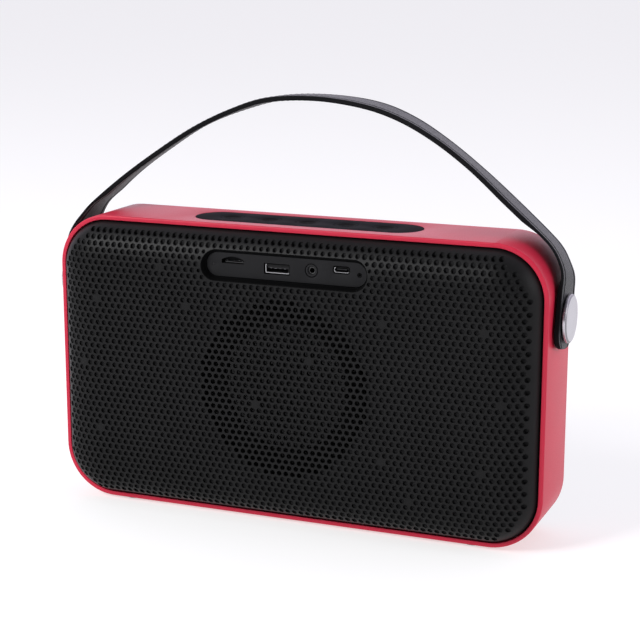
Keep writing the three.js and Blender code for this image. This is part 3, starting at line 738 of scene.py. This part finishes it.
# ---- outer band ----
def outer_band():
    steps, arc_steps, straight_step = 4, 20, 6
    rim = [(0, -RIM_Y), (0, RIM_Y), (BAND_WALL, RIM_Y), (BAND_WALL, -RIM_Y)]
    profile = fillet(rim, [0.8, 0.8, 0.3, 0.3], steps, closed=True)
    loops = []
    for inset, y in profile:
        loop = outline_loop(HALF_LENGTH - inset, HALF_HEIGHT - inset, CORNER_R - inset, arc_steps,
                            straight_step)
        loops.append([(x, y, z + MID_Z) for x, z in loop])
    count = len(loops[0])
    rows = [list(range(row * count, (row + 1) * count)) for row in range(len(loops))]
    pieces_along = round(2 * (HALF_LENGTH - CORNER_R) / straight_step)
    top = range(arc_steps, arc_steps + pieces_along)
    outer_row, inner_row = steps, 3 * (steps + 1) - 1
    points = [p for loop in loops for p in loop]
    faces = []
    for row, here in enumerate(rows):
        opened = top if row in (outer_row, inner_row) else ()
        quads = strip(here, rows[(row + 1) % len(rows)])
        faces.extend(quad for k, quad in enumerate(quads) if k not in opened)

    # the keypad's opening in the top
    rings = []
    for outset, z in ((0.3, TOP_Z), (0.09, TOP_Z - 0.09), (0, TOP_Z - 0.3), (0, TOP_Z - BAND_WALL)):
        loop = stadium(KEYPAD_LENGTH, KEYPAD_WIDTH, outset, arc_steps=12)
        rings.append(list(range(len(points), len(points) + len(loop))))
        points.extend((x, y, z) for x, y in loop)
    for high, low in zip(rings, rings[1:]):
        faces.extend(strip(high, low))
    for row, ring, outward in ((outer_row, rings[0], True), (inner_row, rings[-1], False)):
        near, far = ([rows[r][k] for k in (*top, top[-1] + 1)] for r in (row, row + 1))
        border = [*near, *reversed(far)]
        used = [*border, *ring]
        hole = list(range(len(border), len(used)))
        for face in filled([points[k][:2] for k in used], list(range(len(border))), [hole]):
            corners = [used[k] for k in face]
            faces.append(tuple(corners) if outward else tuple(reversed(corners)))
    piece("band", points, facing_out(points, faces), RED, slot="band_red", replaces=["outer_band"])


# ---- socket plate and sockets ----
PLATE_Y = PORT_FLOOR_Y + GAP
PLATE_BACK_Y = PORT_SEAT_Y + GAP + 1.2
END_X = 38                              # the microphone's hole and, at the other end, the light's
# middle (x, z), then half width and half height of the opening
USB = (-4.5, BASE_Z + 128.7, 6.55, 2.55)
MICRO = (28.8, BASE_Z + 130.8, 3.85, 1.35)
CARD = (-27.6, BASE_Z + 130.7, 5.7, 0.6)
JACK = (13.5, BASE_Z + 129.4)


def slotted(cx, cz, half_width, half_height, radius, grow=0.0):
    """A slot with rounded corners, whose sides are moved out by grow."""
    loop = outline_loop(half_width + grow, half_height + grow, radius, 4, 40)
    return [(x + cx, z + cz) for x, z in loop]


def bevelled(loop_at, bevel):
    """A hole through the socket plate with a rounded edge. loop_at gives its outline, moved out."""
    return [(loop_at(bevel), PLATE_Y), (loop_at(bevel * 0.3), PLATE_Y + bevel * 0.3),
            (loop_at(0), PLATE_Y + bevel), (loop_at(0), PLATE_BACK_Y)]


def round_hole(cx, cz, radius, bevel, sides):
    return bevelled(lambda grow: circle(cx, cz, radius + grow, sides), bevel)


def usb_hole():
    """A hole that widens behind its edge, to make room for the shell."""
    steps = ((0.12, 0.4, 0), (0, 0.35, 0.12), (0, 0.35, 0.55), (0.25, 0.35, 0.55))
    hole = [(slotted(*USB, radius, grow), PLATE_Y + depth) for grow, radius, depth in steps]
    return [*hole, (hole[-1][0], PLATE_BACK_Y)]


def micro_usb_hole():
    x, z, half_width, half_height = MICRO
    return bevelled(lambda grow: slotted(x, z, half_width + 0.3, half_height + 0.3, 1.2 + grow, grow), 0.3)


def card_hole():
    """A slot with a scooped finger notch above it."""
    card_x, card_z, card_half, card_rise = CARD
    slot = [(x + card_x, z + card_z) for x, z in outline_loop(card_half, card_rise, 0.3, 4, 0.8)]
    scooped = []
    for x, z in slot:
        across = (x - card_x) / (card_half + 0.3)
        lift = 1.9 * max(0.0, 1 - across ** 2) if z > card_z else -0.35
        scooped.append((card_x + (x - card_x) * 1.05, z + lift))
    return [(scooped, PLATE_Y), (scooped, PLATE_Y + 0.5), (slot, PLATE_Y + 1.4), (slot, PLATE_BACK_Y)]


def microphone_hole():
    """A funnel that ends in a pin-hole."""
    steps = ((1.25, PLATE_Y), (0.95, PLATE_Y + 0.22), (0.42, PLATE_Y + 0.3), (0.42, PLATE_BACK_Y))
    return [(circle(END_X, PORT_Z, radius, 24), y) for radius, y in steps]


def port_plate():
    seat = PORT_SEAT_Y + GAP
    steps = ((-PORT_SLOPE - 0.4, PLATE_Y), (-PORT_SLOPE - 0.2, PLATE_Y + 0.2), (-PORT_SLOPE - 0.2, seat),
             (PORT_COLLAR, seat), (PORT_COLLAR, PLATE_BACK_Y))
    outer = [(port_outline(outset), y) for outset, y in steps]
    holes = [card_hole(), usb_hole(), micro_usb_hole(), round_hole(*JACK, 3.1, 0.35, 32), microphone_hole(),
             round_hole(-END_X, PORT_Z, 0.7, 0.1, 16)]
    made = flat_piece("port_face", outer, holes, facing_rear, [PORT_BLACK, RECESS_PAINTED_SHADE],
                      slot="panel_black", replaces=["port_plate"])

    def choose(middle, _):
        """Painted shade on the walls inside the holes."""
        return int(mouth_distance(middle.x, middle.z) < -PORT_SLOPE - 0.5 and middle.y > PLATE_Y + 0.02)

    paint_by(made, choose)


def metal_shell(name, slot, wall, front, back, node):
    """A folded shell open to the rear, plain steel inside and on its left and bottom front edges, with
    painted shade on its other front edges and outside, and a dark floor.
    """
    cx, cz, half_width, half_height, _ = slot
    outer = [(slotted(*slot, -0.06), front), (slotted(*slot), front + 0.08), (slotted(*slot), back)]
    inside = [(slotted(*slot, 0.06 - wall), front), (slotted(*slot, -wall), front + 0.08),
              (slotted(*slot, -wall), back - 0.6)]
    made = flat_piece(name, outer, [inside], facing_rear, [SHELL_EDGE_PAINTED_SHADE, STEEL, INNER_BLACK], slot="steel",
                      replaces=[node])

    def choose(middle, polygon):
        x, z = middle.x - cx, middle.z - cz
        inner = abs(x) < half_width - wall + 0.02 and abs(z) < half_height - wall + 0.02
        if inner and front + 0.1 < middle.y < back - 0.1:
            return 2 if middle.y > back - 0.9 and len(polygon.vertices) > 4 else 1
        # left and bottom front edges in plain steel; the top and right front edges and the outside in
        # painted shade
        return int(middle.y < front + 0.1 and (x < 0.7 - half_width or z < 0.5 - half_height))

    paint_by(made, choose)


def bar(name, slot, front, back, paint):
    """A straight bar with the section of a slot."""
    flat_piece(name, [(slotted(*slot), front), (slotted(*slot), back)], [], facing_rear, paint)


def usb_a_socket():
    x, z, half_width, half_height = USB
    room = 0.4
    shell = (x, z, half_width - room, half_height - room, 0.35)
    metal_shell("usb_a_shell", shell, 0.4, PLATE_Y + 0.65, -15, "usb_a_socket")
    bar("usb_a_tongue", (x, z + 1.05, 5.6, 0.9, 0.2), PLATE_Y + 1.5, -15.8, INNER_BLACK)


def micro_usb_socket():
    metal_shell("micro_usb_shell", (*MICRO, 1.0), 0.3, PLATE_Y + 0.35, -18, "micro_usb_socket")
    bar("micro_usb_tongue", (MICRO[0], MICRO[1] + 0.2, 2.6, 0.3, 0.1), PLATE_Y + 0.9, -18.8, INNER_BLACK)


def usb_a_contacts():
    for k in range(4):
        slot = (USB[0] + (k - 1.5) * 2.4, USB[1] + 0.1, 0.45, 0.08, 0.02)
        bar(f"usb_a_contact_{k + 1}", slot, PLATE_Y + 1.7, PLATE_Y + 7, STEEL)


def microsd_spring():
    bar("microsd_spring", (CARD[0] + 0.6, CARD[1] - 0.32, 4.9, 0.1, 0.02), PLATE_Y + 0.9, PLATE_Y + 3.2,
        STEEL_PAINTED_SHADE)


def headphone_jack():
    front, back = PLATE_Y + 0.1, -15
    bore_r, barrel_r, contact_r = 1.75, 3.0, 1.35
    place = at(JACK[0], 0, JACK[1]) @ ALONG_Y
    barrel = [(0, back - 0.4), (bore_r, back - 0.4), (bore_r, front + 0.5), (2.2, front), (2.9, front),
              (barrel_r, front + 0.1), (barrel_r, back), (0, back)]
    turned("headphone_jack_barrel", barrel, place, INNER_BLACK, slot="inner_black",
           replaces=["headphone_jack"])
    contact = [(contact_r, front + 1.0), (bore_r, front + 1.0), (bore_r, front + 2.2),
               (contact_r, front + 2.2), (contact_r, front + 1.0)]
    turned("headphone_jack_contact", contact, place, STEEL_PAINTED_SHADE)


# ---- keypad ----
KEYPAD_FLOOR = 3.9                      # depth of the keypad's underside below the band's top
KEY_TOP_Z = TOP_Z - 0.1
DISH_R, DISH_FLAT_R, DISH_DEPTH = 5.3, 2.9, 0.65


def key_x(number):
    return (number - (len(KEYS) - 1) / 2) * KEY_PITCH


def keypad_frame():
    flange = BAND_WALL + GAP
    outer = []
    for outset, depth in ((-0.5, 0.0), (-0.2, 0.08), (-0.12, 0.3), (-0.12, flange), (2, flange),
                          (2, KEYPAD_FLOOR)):
        outer.append((stadium(KEYPAD_LENGTH, KEYPAD_WIDTH, outset, arc_steps=12), depth - TOP_Z))
    well = ((KEY_R + 0.32, 0.0), (KEY_R + 0.17, 0.06), (KEY_R + 0.12, 0.2), (KEY_R + 0.12, KEYPAD_FLOOR))
    holes = [[(circle(key_x(number), 0, radius, 40), depth - TOP_Z) for radius, depth in well]
             for number in range(len(KEYS))]
    flat_piece("keypad_pill", outer, holes, facing_up, PAD_GREY, slot="keypad_grey",
               replaces=["keypad_frame"])


def ring_sector(inner, outer, start, stop):
    angles = [math.radians(start + (stop - start) * k / 10) for k in range(11)]
    return ([(outer * math.cos(a), outer * math.sin(a)) for a in angles]
            + [(inner * math.cos(a), inner * math.sin(a)) for a in reversed(angles)])


def rectangle(x0, x1, y0, y1):
    return [(x0, y0), (x1, y0), (x1, y1), (x0, y1)]


ICONS = {
    "phone": [ring_sector(1.25, 1.95, 205, 335), ring_sector(1.0, 2.15, 190, 214),
              ring_sector(1.0, 2.15, 326, 350)],
    "previous": [rectangle(-2.2, -1.7, -1.3, 1.3), [(-1.5, 0), (0.2, -1.3), (0.2, 1.3)],
                 [(0.3, 0), (2.0, -1.3), (2.0, 1.3)]],
    "play": [[(-2.2, -1.4), (0.1, 0), (-2.2, 1.4)], rectangle(0.5, 1.1, -1.4, 1.4),
             rectangle(1.6, 2.2, -1.4, 1.4)],
    "next": [[(-2.0, -1.3), (-0.3, 0), (-2.0, 1.3)], [(-0.2, -1.3), (1.5, 0), (-0.2, 1.3)],
             rectangle(1.7, 2.2, -1.3, 1.3)],
    "mode": [rectangle(-1.9, -1.2, -1.4, 0.2), rectangle(-0.9, -0.2, -1.4, 1.4),
             rectangle(0.2, 0.9, -1.4, 0.8), rectangle(1.2, 1.9, -1.4, -0.2)],
}


def key(number, name):
    """A key with a shallow dish, a flange under the keypad and a stem down to its switch."""
    stem_r, flange_r = 1.8, 7.2
    stem_z, flange_low, flange_high = TOP_Z - 7.0, TOP_Z - 5.4, TOP_Z - 4.2
    sides = fillet([(stem_r, stem_z), (stem_r, flange_low), (flange_r, flange_low), (flange_r, flange_high),
                    (KEY_R, flange_high), (KEY_R, KEY_TOP_Z), (DISH_R, KEY_TOP_Z)],
                   [0, 0.2, 0.2, 0.2, 0.2, 0.25, 0])
    dish = []
    for k in range(1, 9):
        t = k / 8
        dish.append((DISH_R + (DISH_FLAT_R - DISH_R) * t,
                     KEY_TOP_Z - DISH_DEPTH * (1 - math.cos(math.pi * t)) / 2))
    profile = [(0, stem_z), *sides, *dish, (0, KEY_TOP_Z - DISH_DEPTH)]
    made = turned(f"{name}_key_top", profile, at(key_x(number), 0, 0), [PAD_GREY, KEY_DISH_PAINTED_SHADE],
                  body=f"{name}_key", slot="keypad_grey", replaces=[f"{name}_button"])

    def choose(middle, _):
        """Painted shade in the dish."""
        return int(middle.z > KEY_TOP_Z - 1.5 and math.hypot(middle.x - key_x(number), middle.y) < 4.9)

    paint_by(made, choose)


def icon(number, name):
    """The printed sign in a key's dish, as thin plates."""
    points, faces = [], []
    for shape in ICONS[name]:
        if sum(a[0] * b[1] - a[1] * b[0] for a, b in zip(shape, shape[1:] + shape[:1])) < 0:
            shape = shape[::-1]
        extra, more = plate([(shape, 0.0), (shape, 0.16)], [])
        first = len(points)
        points.extend((u + key_x(number), v, KEY_TOP_Z - DISH_DEPTH + 0.06 - w) for u, v, w in extra)
        faces.extend(tuple(first + k for k in reversed(face)) for face in more)
    piece(f"{name}_icon", points, facing_out(points, faces), ICON_GREY, body=f"{name}_key")


# ---- strap ----
STRAP_W, STRAP_T, STRAP_TAIL, STRAP_END_R = 25.5, 2.6, 14.5, 9
LEAN = math.radians(11)
STITCH_INSET = 3.3
GROOVE_HALF, GROOVE_DEPTH = 0.95, 0.6
SKIVED = (27, 34, 55, 68)                # starts, full, full until, ends: distances from the strap's end
# across the case, height above the pivots, and twist in degrees, from the right tail to the left one
STRAP_LINE = [(129.7, -STRAP_TAIL, 0), (129.7, 0, 0), (129.7, 12, 0), (129.6, 20, 1), (127.1, 26.4, 2),
              (123.6, 32, 1), (117.7, 37.8, 0), (100.5, 52, -1), (82.5, 66.5, 0), (63.5, 79.5, -1.5),
              (44.5, 89.5, -5), (25, 95.5, -8), (0, 98, -8), (-25, 96.5, -9), (-45, 90.5, -12),
              (-65, 81.5, -16), (-84, 69, -16), (-102.5, 55, -15), (-118.3, 40.2, -11), (-123.8, 32.3, -6),
              (-127.2, 26.4, -2.5), (-129.6, 20, -1), (-129.7, 12, 0), (-129.7, 0, 0),
              (-129.7, -STRAP_TAIL, 0)]


def skived(from_end):
    """Share of the inner half thickness that is left: the leather is pared down where it bends inwards."""
    low, full, last, high = SKIVED
    if from_end <= low or from_end >= high:
        return 1.0
    into = min(1.0, (from_end - low) / (full - low), (high - from_end) / (high - last))
    return 1.0 - 0.9 * into * into * (3 - 2 * into)


def strap_curve():
    """A smooth curve through STRAP_LINE, as closely spaced points, and the length at each."""
    controls = [Vector(row) for row in STRAP_LINE]
    dense = []
    for k in range(len(controls) - 1):
        p0, p3 = controls[max(k - 1, 0)], controls[min(k + 2, len(controls) - 1)]
        p1, p2 = controls[k], controls[k + 1]
        for s in range(24):
            t = s / 24
            dense.append(0.5 * (2 * p1 + (p2 - p0) * t + (2 * p0 - 5 * p1 + 4 * p2 - p3) * t ** 2
                                + (3 * p1 - p0 - 3 * p2 + p3) * t ** 3))
    dense.append(controls[-1])
    lengths = [0.0]
    for a, b in zip(dense, dense[1:]):
        lengths.append(lengths[-1] + math.dist(a[:2], b[:2]))
    return dense, lengths


def strap_path(step):
    """Evenly spaced stations along the middle of the leather: (point, across, outward) and the length."""
    dense, lengths = strap_curve()
    count = round(lengths[-1] / step)
    path, place = [], 0
    for k in range(count + 1):
        target = lengths[-1] * k / count
        while place < len(lengths) - 2 and lengths[place + 1] < target:
            place += 1
        share = (target - lengths[place]) / (lengths[place + 1] - lengths[place])
        path.append(dense[place].lerp(dense[place + 1], min(share, 1)))
    for _ in range(3):
        path = [path[0]] + [(a + 2 * b + c) / 4 for a, b, c in zip(path, path[1:], path[2:])] + [path[-1]]
    lean = Vector((0, math.sin(LEAN), math.cos(LEAN)))
    flat_across = Vector((0, math.cos(LEAN), -math.sin(LEAN)))
    middles = [Vector((p.x, 0, PIVOT_Z)) + lean * p.y for p in path]
    stations = []
    for k, middle in enumerate(middles):
        along = (middles[min(k + 1, len(path) - 1)] - middles[max(k - 1, 0)]).normalized()
        across = Quaternion(along, math.radians(path[k].z)) @ flat_across
        stations.append((middle, across, across.cross(along)))
    return stations, lengths[-1]


def strap_section():
    """Points (across, outward) round the leather, with a groove for the stitches along every edge."""
    half, thick = STRAP_W / 2, STRAP_T / 2
    groove = half - STITCH_INSET
    side = [(groove - 2.2, thick), (groove - GROOVE_HALF, thick - 0.02), (groove, thick - GROOVE_DEPTH),
            (groove + GROOVE_HALF, thick), (half, thick - 0.15)]
    face = [*((-a, t) for a, t in reversed(side)), (0, thick + 0.05), *side]
    face = fillet(face, [0, 0.25, 0.3, 0.25, 0.5, 0, 0.5, 0.25, 0.3, 0.25, 0], 2)
    back = [(-a, -t) for a, t in face]
    between = [0] * (len(face) - 2)
    return fillet([*face, *back], [0.55, *between, 0.55, 0.35, *between, 0.35], 4, closed=True)


def strap():
    stations, length = strap_path(1.0)
    half = STRAP_W / 2
    section = strap_section()
    points = []
    for k, (middle, across, outward) in enumerate(stations):
        from_end = min(k, len(stations) - 1 - k) * length / (len(stations) - 1)
        into_end = max(0.0, STRAP_END_R - from_end)
        narrow = (half - STRAP_END_R + math.sqrt(STRAP_END_R ** 2 - into_end ** 2)) / half
        thin = 1.0 if from_end > 0.9 else 0.72 + 0.28 * from_end / 0.9
        inner = thin * skived(from_end)
        points.extend(middle + across * (a * narrow) + outward * (t * (thin if t > 0 else inner))
                      for a, t in section)
    count = len(section)
    rows = [list(range(first, first + count)) for first in range(0, len(points), count)]
    faces = [face for low, high in zip(rows, rows[1:]) for face in strip(low, high)]
    faces += [tuple(reversed(rows[0])), tuple(rows[-1])]
    made = piece("strap_leather_band", points, facing_out(points, faces), [LEATHER, LINING_AND_PAINTED_SHEEN, EDGE_PAINT_AND_GROOVE_SHADE],
                 body="strap", slot="leather", replaces=["strap"], sharp=50)

    def choose(_, polygon):
        """Edge paint on the edges and ends, painted shade in the grooves, leather outside and the lining
        with its painted sheen inside.
        """
        corners = [section[k % count] for k in polygon.vertices]
        in_groove = all(abs(abs(a) - half + STITCH_INSET) < GROOVE_HALF + 0.05 for a, _ in corners)
        if min(abs(a) for a, _ in corners) > half - 0.35 or len(corners) > 4 or in_groove:
            return 2
        return int(max(t for _, t in corners) < 0)

    paint_by(made, choose)


def stitching():
    """One thread capsule for every stitch, in the grooves along both edges and on both faces."""
    stations, length = strap_path(0.5)
    line, height = STRAP_W / 2 - STITCH_INSET, STRAP_T / 2 - 0.12
    pitch, stitch, thread, margin, corners = 3.0, 2.1, 0.26, 6, 6
    count = int((length - 2 * margin) / pitch)
    points, faces = [], []

    def capsule(start, side, face):
        first = len(points)
        for share, size in ((-0.5, 0.25), (-0.36, 0.85), (0, 1), (0.36, 0.85), (0.5, 0.25)):
            along = start + share * stitch
            middle, across, outward = stations[round(along / length * (len(stations) - 1))]
            level = height if face > 0 else -height * skived(min(along, length - along))
            sink = face * 0.16 * (1 - size)
            for step in range(corners):
                angle = 2 * math.pi * step / corners
                points.append(middle + outward * (level - sink + thread * size * math.sin(angle))
                              + across * (side * line + thread * size * math.cos(angle)))
        rings = [list(range(k, k + corners)) for k in range(first, len(points), corners)]
        faces.extend((tuple(rings[0][::-1]), tuple(rings[-1])))
        for low, high in zip(rings, rings[1:]):
            faces.extend(strip(low, high))

    for number in range(count):
        start = margin + (number + 0.5) * (length - 2 * margin) / count
        for side in (-1, 1):
            for face in (1, -1):
                capsule(start, side, face)
    piece("strap_stitching", points, facing_out(points, faces), THREAD, body="strap", sharp=60)


# ---- pivots, feet ----
def pivots():
    cap_x, cap_r, hole_r, height = 131.3, 11.6, 2.4, 2.3
    cap = fillet([(hole_r, cap_x), (cap_r - 0.7, cap_x), (cap_r, cap_x + 0.5), (cap_r, cap_x + 1.65),
                  (10.75, cap_x + height), (0, cap_x + height)], [0, 0.3, 0.3, 0.35, 0.6, 0], 4)
    cap += [(0, cap_x + 1.3), (hole_r, cap_x + 1.3), (hole_r, cap_x)]
    low, high, inner, outer = HALF_LENGTH + 0.05, HALF_LENGTH + 0.65, 3.3, 7
    washer = [(inner, low), (outer - 0.2, low), (outer, low + 0.1), (outer, high - 0.1),
              (outer - 0.2, high), (inner, high), (inner, low)]

    def choose(middle, _):
        """A brushed face inside a bevel in painted shade, over a plain silver side."""
        above = abs(middle.x) - cap_x
        if above > height - 0.05:
            return 1
        return 2 if above > 1.7 and math.hypot(middle.y, middle.z - PIVOT_Z) > 10 else 0

    for name, side in SIDES:
        place = at(0, 0, PIVOT_Z) @ Matrix.Diagonal((side, 1, 1, 1)) @ ALONG_X
        made = turned(f"{name}_cap", cap, place, [SILVER, CAP_FACE, CAP_BEVEL], 96, slot="satin_silver",
                      replaces=[f"{name}_pivot_cap"])
        paint_by(made, choose)
        turned(f"{name}_washer", washer, place, RUBBER, slot="rubber", replaces=[f"{name}_pivot_washer"])


def feet():
    foot_x, foot_y = 92, 12
    profile = [(0, 0), *fillet([(4.6, 0), (5.4, 0), (6, 0.6), (6, BASE_Z)], [0, 0.3, 0.4, 0]), (0, BASE_Z)]
    for row, y in (("rear", -foot_y), ("front", foot_y)):
        for name, side in SIDES:
            turned(f"{row}_{name}_foot_pad", profile, at(side * foot_x, y, 0), RUBBER, slot="rubber",
                   replaces=[f"{row}_{name}_foot"])


# ---- what shows through the open holes ----
def half_roll(middle, reach, height, rise):
    """Half an ellipse across a surround, outwards, or inwards where reach is negative."""
    angles = [math.pi * k / 12 for k in range(13)]
    return [(middle - reach * math.cos(a), height + rise * math.sin(a)) for a in angles]


def radiator():
    place = at(0, 0, RADIATOR_Z) @ ALONG_Y
    disc = [(0, -27.0), (27, -27.0), (28, -26.8), (30.4, -26.8), (31.3, -27), (31.5, -26.8), (31.5, -26.0),
            (0, -26.0)]
    turned("radiator_disc", disc, place, DISC_PAINTED_LIGHT, 96, body="radiator", slot="inner_black",
           replaces=["radiator_plate"])
    start = (31.9, -27.1)
    roll = [start, *half_roll(37, 4.4, -27.2, -2.3), (42.2, -26.9), (46.5, -26.9), (46.5, -26.2),
            (41.6, -26.2), *half_roll(37, -3.8, -26.5, -2.3), (31.9, -26.3), start]
    turned("radiator_roll", roll, place, RUBBER, 96, slot="rubber", replaces=["radiator_surround"])


def drivers():
    dome = [(9.6 * math.sin(math.radians(a)), 10.4 + 2.2 * math.cos(math.radians(a)) ** 2)
            for a in range(0, 91, 10)]
    flare = [(10.6 + 12.8 * t, 9.6 + 8.4 * t ** 0.8) for t in (k / 10 for k in range(11))]
    cone = [*dome, *flare, (23.4, 17.2), (10.2, 8.4), (10.2, -6), (9.4, -6), (9.4, 9.2), (0, 11.2)]
    front, roll_t = 16.8 + 1.8 + GAP, 0.7
    roll = half_roll(26.2, 2.5, front, 2.2)
    surround = [*roll, (32.5, front), (32.5, front + roll_t), *half_roll(26.2, -2.5, front + roll_t, 2.2),
                roll[0]]
    for name, side in SIDES:
        place = at(side * DRIVER_X, 0, DRIVER_Z) @ ALONG_Y
        turned(f"{name}_cone_paper", cone, place, PAPER, 72, body=f"{name}_cone", slot="paper_cone",
               replaces=[f"{name}_driver_cone"])
        turned(f"{name}_roll_surround", surround, place, RUBBER, 72, slot="rubber",
               replaces=[f"{name}_driver_surround"])


# ---- CAD nodes that keep their shape ----
CARRIED = {
    STEEL: ["microsd_socket", "microphone", "radiator_weight", *(f"{k}_switch" for k in KEYS),
            *(f"cabinet_screw_{n}" for n in range(1, 5)),
            *(f"{name}_pivot_{part}" for name, _ in SIDES for part in ("screw", "nut"))],
    INNER_BLACK: ["front_baffle", "radiator_frame", "battery_holder", "left_driver_frame",
                  "right_driver_frame"],
    FERRITE: ["left_driver_magnet", "right_driver_magnet"],
    BOARD: ["main_circuit_board", "keypad_circuit_board"],
    SLEEVE: ["rear_battery_cell", "front_battery_cell"],
    LENS: ["status_light"],
}


def paint_carried():
    for paint, nodes in CARRIED.items():
        for node in nodes:
            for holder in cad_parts[node].material_slots:
                holder.material = paint


# ---- camera, floor and light ----
def look(obj, target):
    obj.rotation_mode = "QUATERNION"
    obj.rotation_quaternion = (target - obj.location).to_track_quat("-Z", "Y")


def camera():
    data = bpy.data.cameras.new("camera")
    made = placed("camera", data)
    azimuth, elevation, roll = math.radians(22.036), math.radians(12.98), math.radians(0.079)
    back = Vector((math.sin(azimuth) * math.cos(elevation), -math.cos(azimuth) * math.cos(elevation),
                   math.sin(elevation)))
    made.location = Vector((311.77, -753.92, 287.46)) * MM
    look(made, made.location - back)
    made.rotation_quaternion = made.rotation_quaternion @ Quaternion((0, 0, 1), roll)
    data.sensor_width = 36
    data.lens = 94.7
    data.clip_end = 100
    bpy.context.scene.camera = made


def floor():
    """A wide white floor that also glows a little, so that it stays white under the object."""
    reach = 15.0                        # metres
    mesh = bpy.data.meshes.new("floor")
    corners = [(-reach, -reach, 0), (reach, -reach, 0), (reach, reach, 0), (-reach, reach, 0)]
    mesh.from_pydata(corners, [], [(0, 1, 2, 3)])
    paint, _ = new_material("floor_white", Base_Color=(0.5, 0.5, 0.5, 1), Roughness=0.9,
                            Specular_IOR_Level=0.0, Emission_Color=(1, 1, 1, 1), Emission_Strength=0.55)
    mesh.materials.append(paint)
    placed("floor", mesh)


def soft_light(name, location, target, size, power):
    data = bpy.data.lights.new(name, "AREA")
    data.shape = "RECTANGLE"
    data.size, data.size_y = size
    data.energy = power
    made = placed(name, data)
    made.location = location
    look(made, Vector(target))


def lights():
    """A studio that is bright on the front panel's side and dim on the socket side, with a key light from
    the left of the socket side and a weaker one from the right."""
    world = bpy.data.worlds.new("studio")
    world.use_nodes = True
    tree = world.node_tree
    parts = new_node(tree, "SeparateXYZ")
    tree.links.new(new_node(tree, "TexCoord").outputs["Generated"], parts.inputs["Vector"])
    strength = ranged(tree, parts.outputs["Y"], 0.12, 1.2, -0.35, 0.5)
    background = tree.nodes["Background"]
    set_inputs(background, Color=(1, 0.96, 1.1, 1))
    tree.links.new(strength, background.inputs["Strength"])
    bpy.context.scene.world = world
    soft_light("key", (-1.05, -1.42, 1.25), (0, 0, 0.08), (0.8, 0.8), 41)
    soft_light("right", (1.5, -0.1, 0.7), (0.1, 0, 0.1), (0.8, 0.8), 7)
    bpy.context.scene.view_settings.view_transform = "Standard"


outer_band()
rear_panel()
front_panel()
port_plate()
usb_a_socket()
micro_usb_socket()
usb_a_contacts()
microsd_spring()
headphone_jack()
keypad_frame()
for number, name in enumerate(KEYS):
    key(number, name)
    icon(number, name)
strap()
stitching()
pivots()
feet()
radiator()
drivers()
paint_carried()
camera()
floor()
lights()
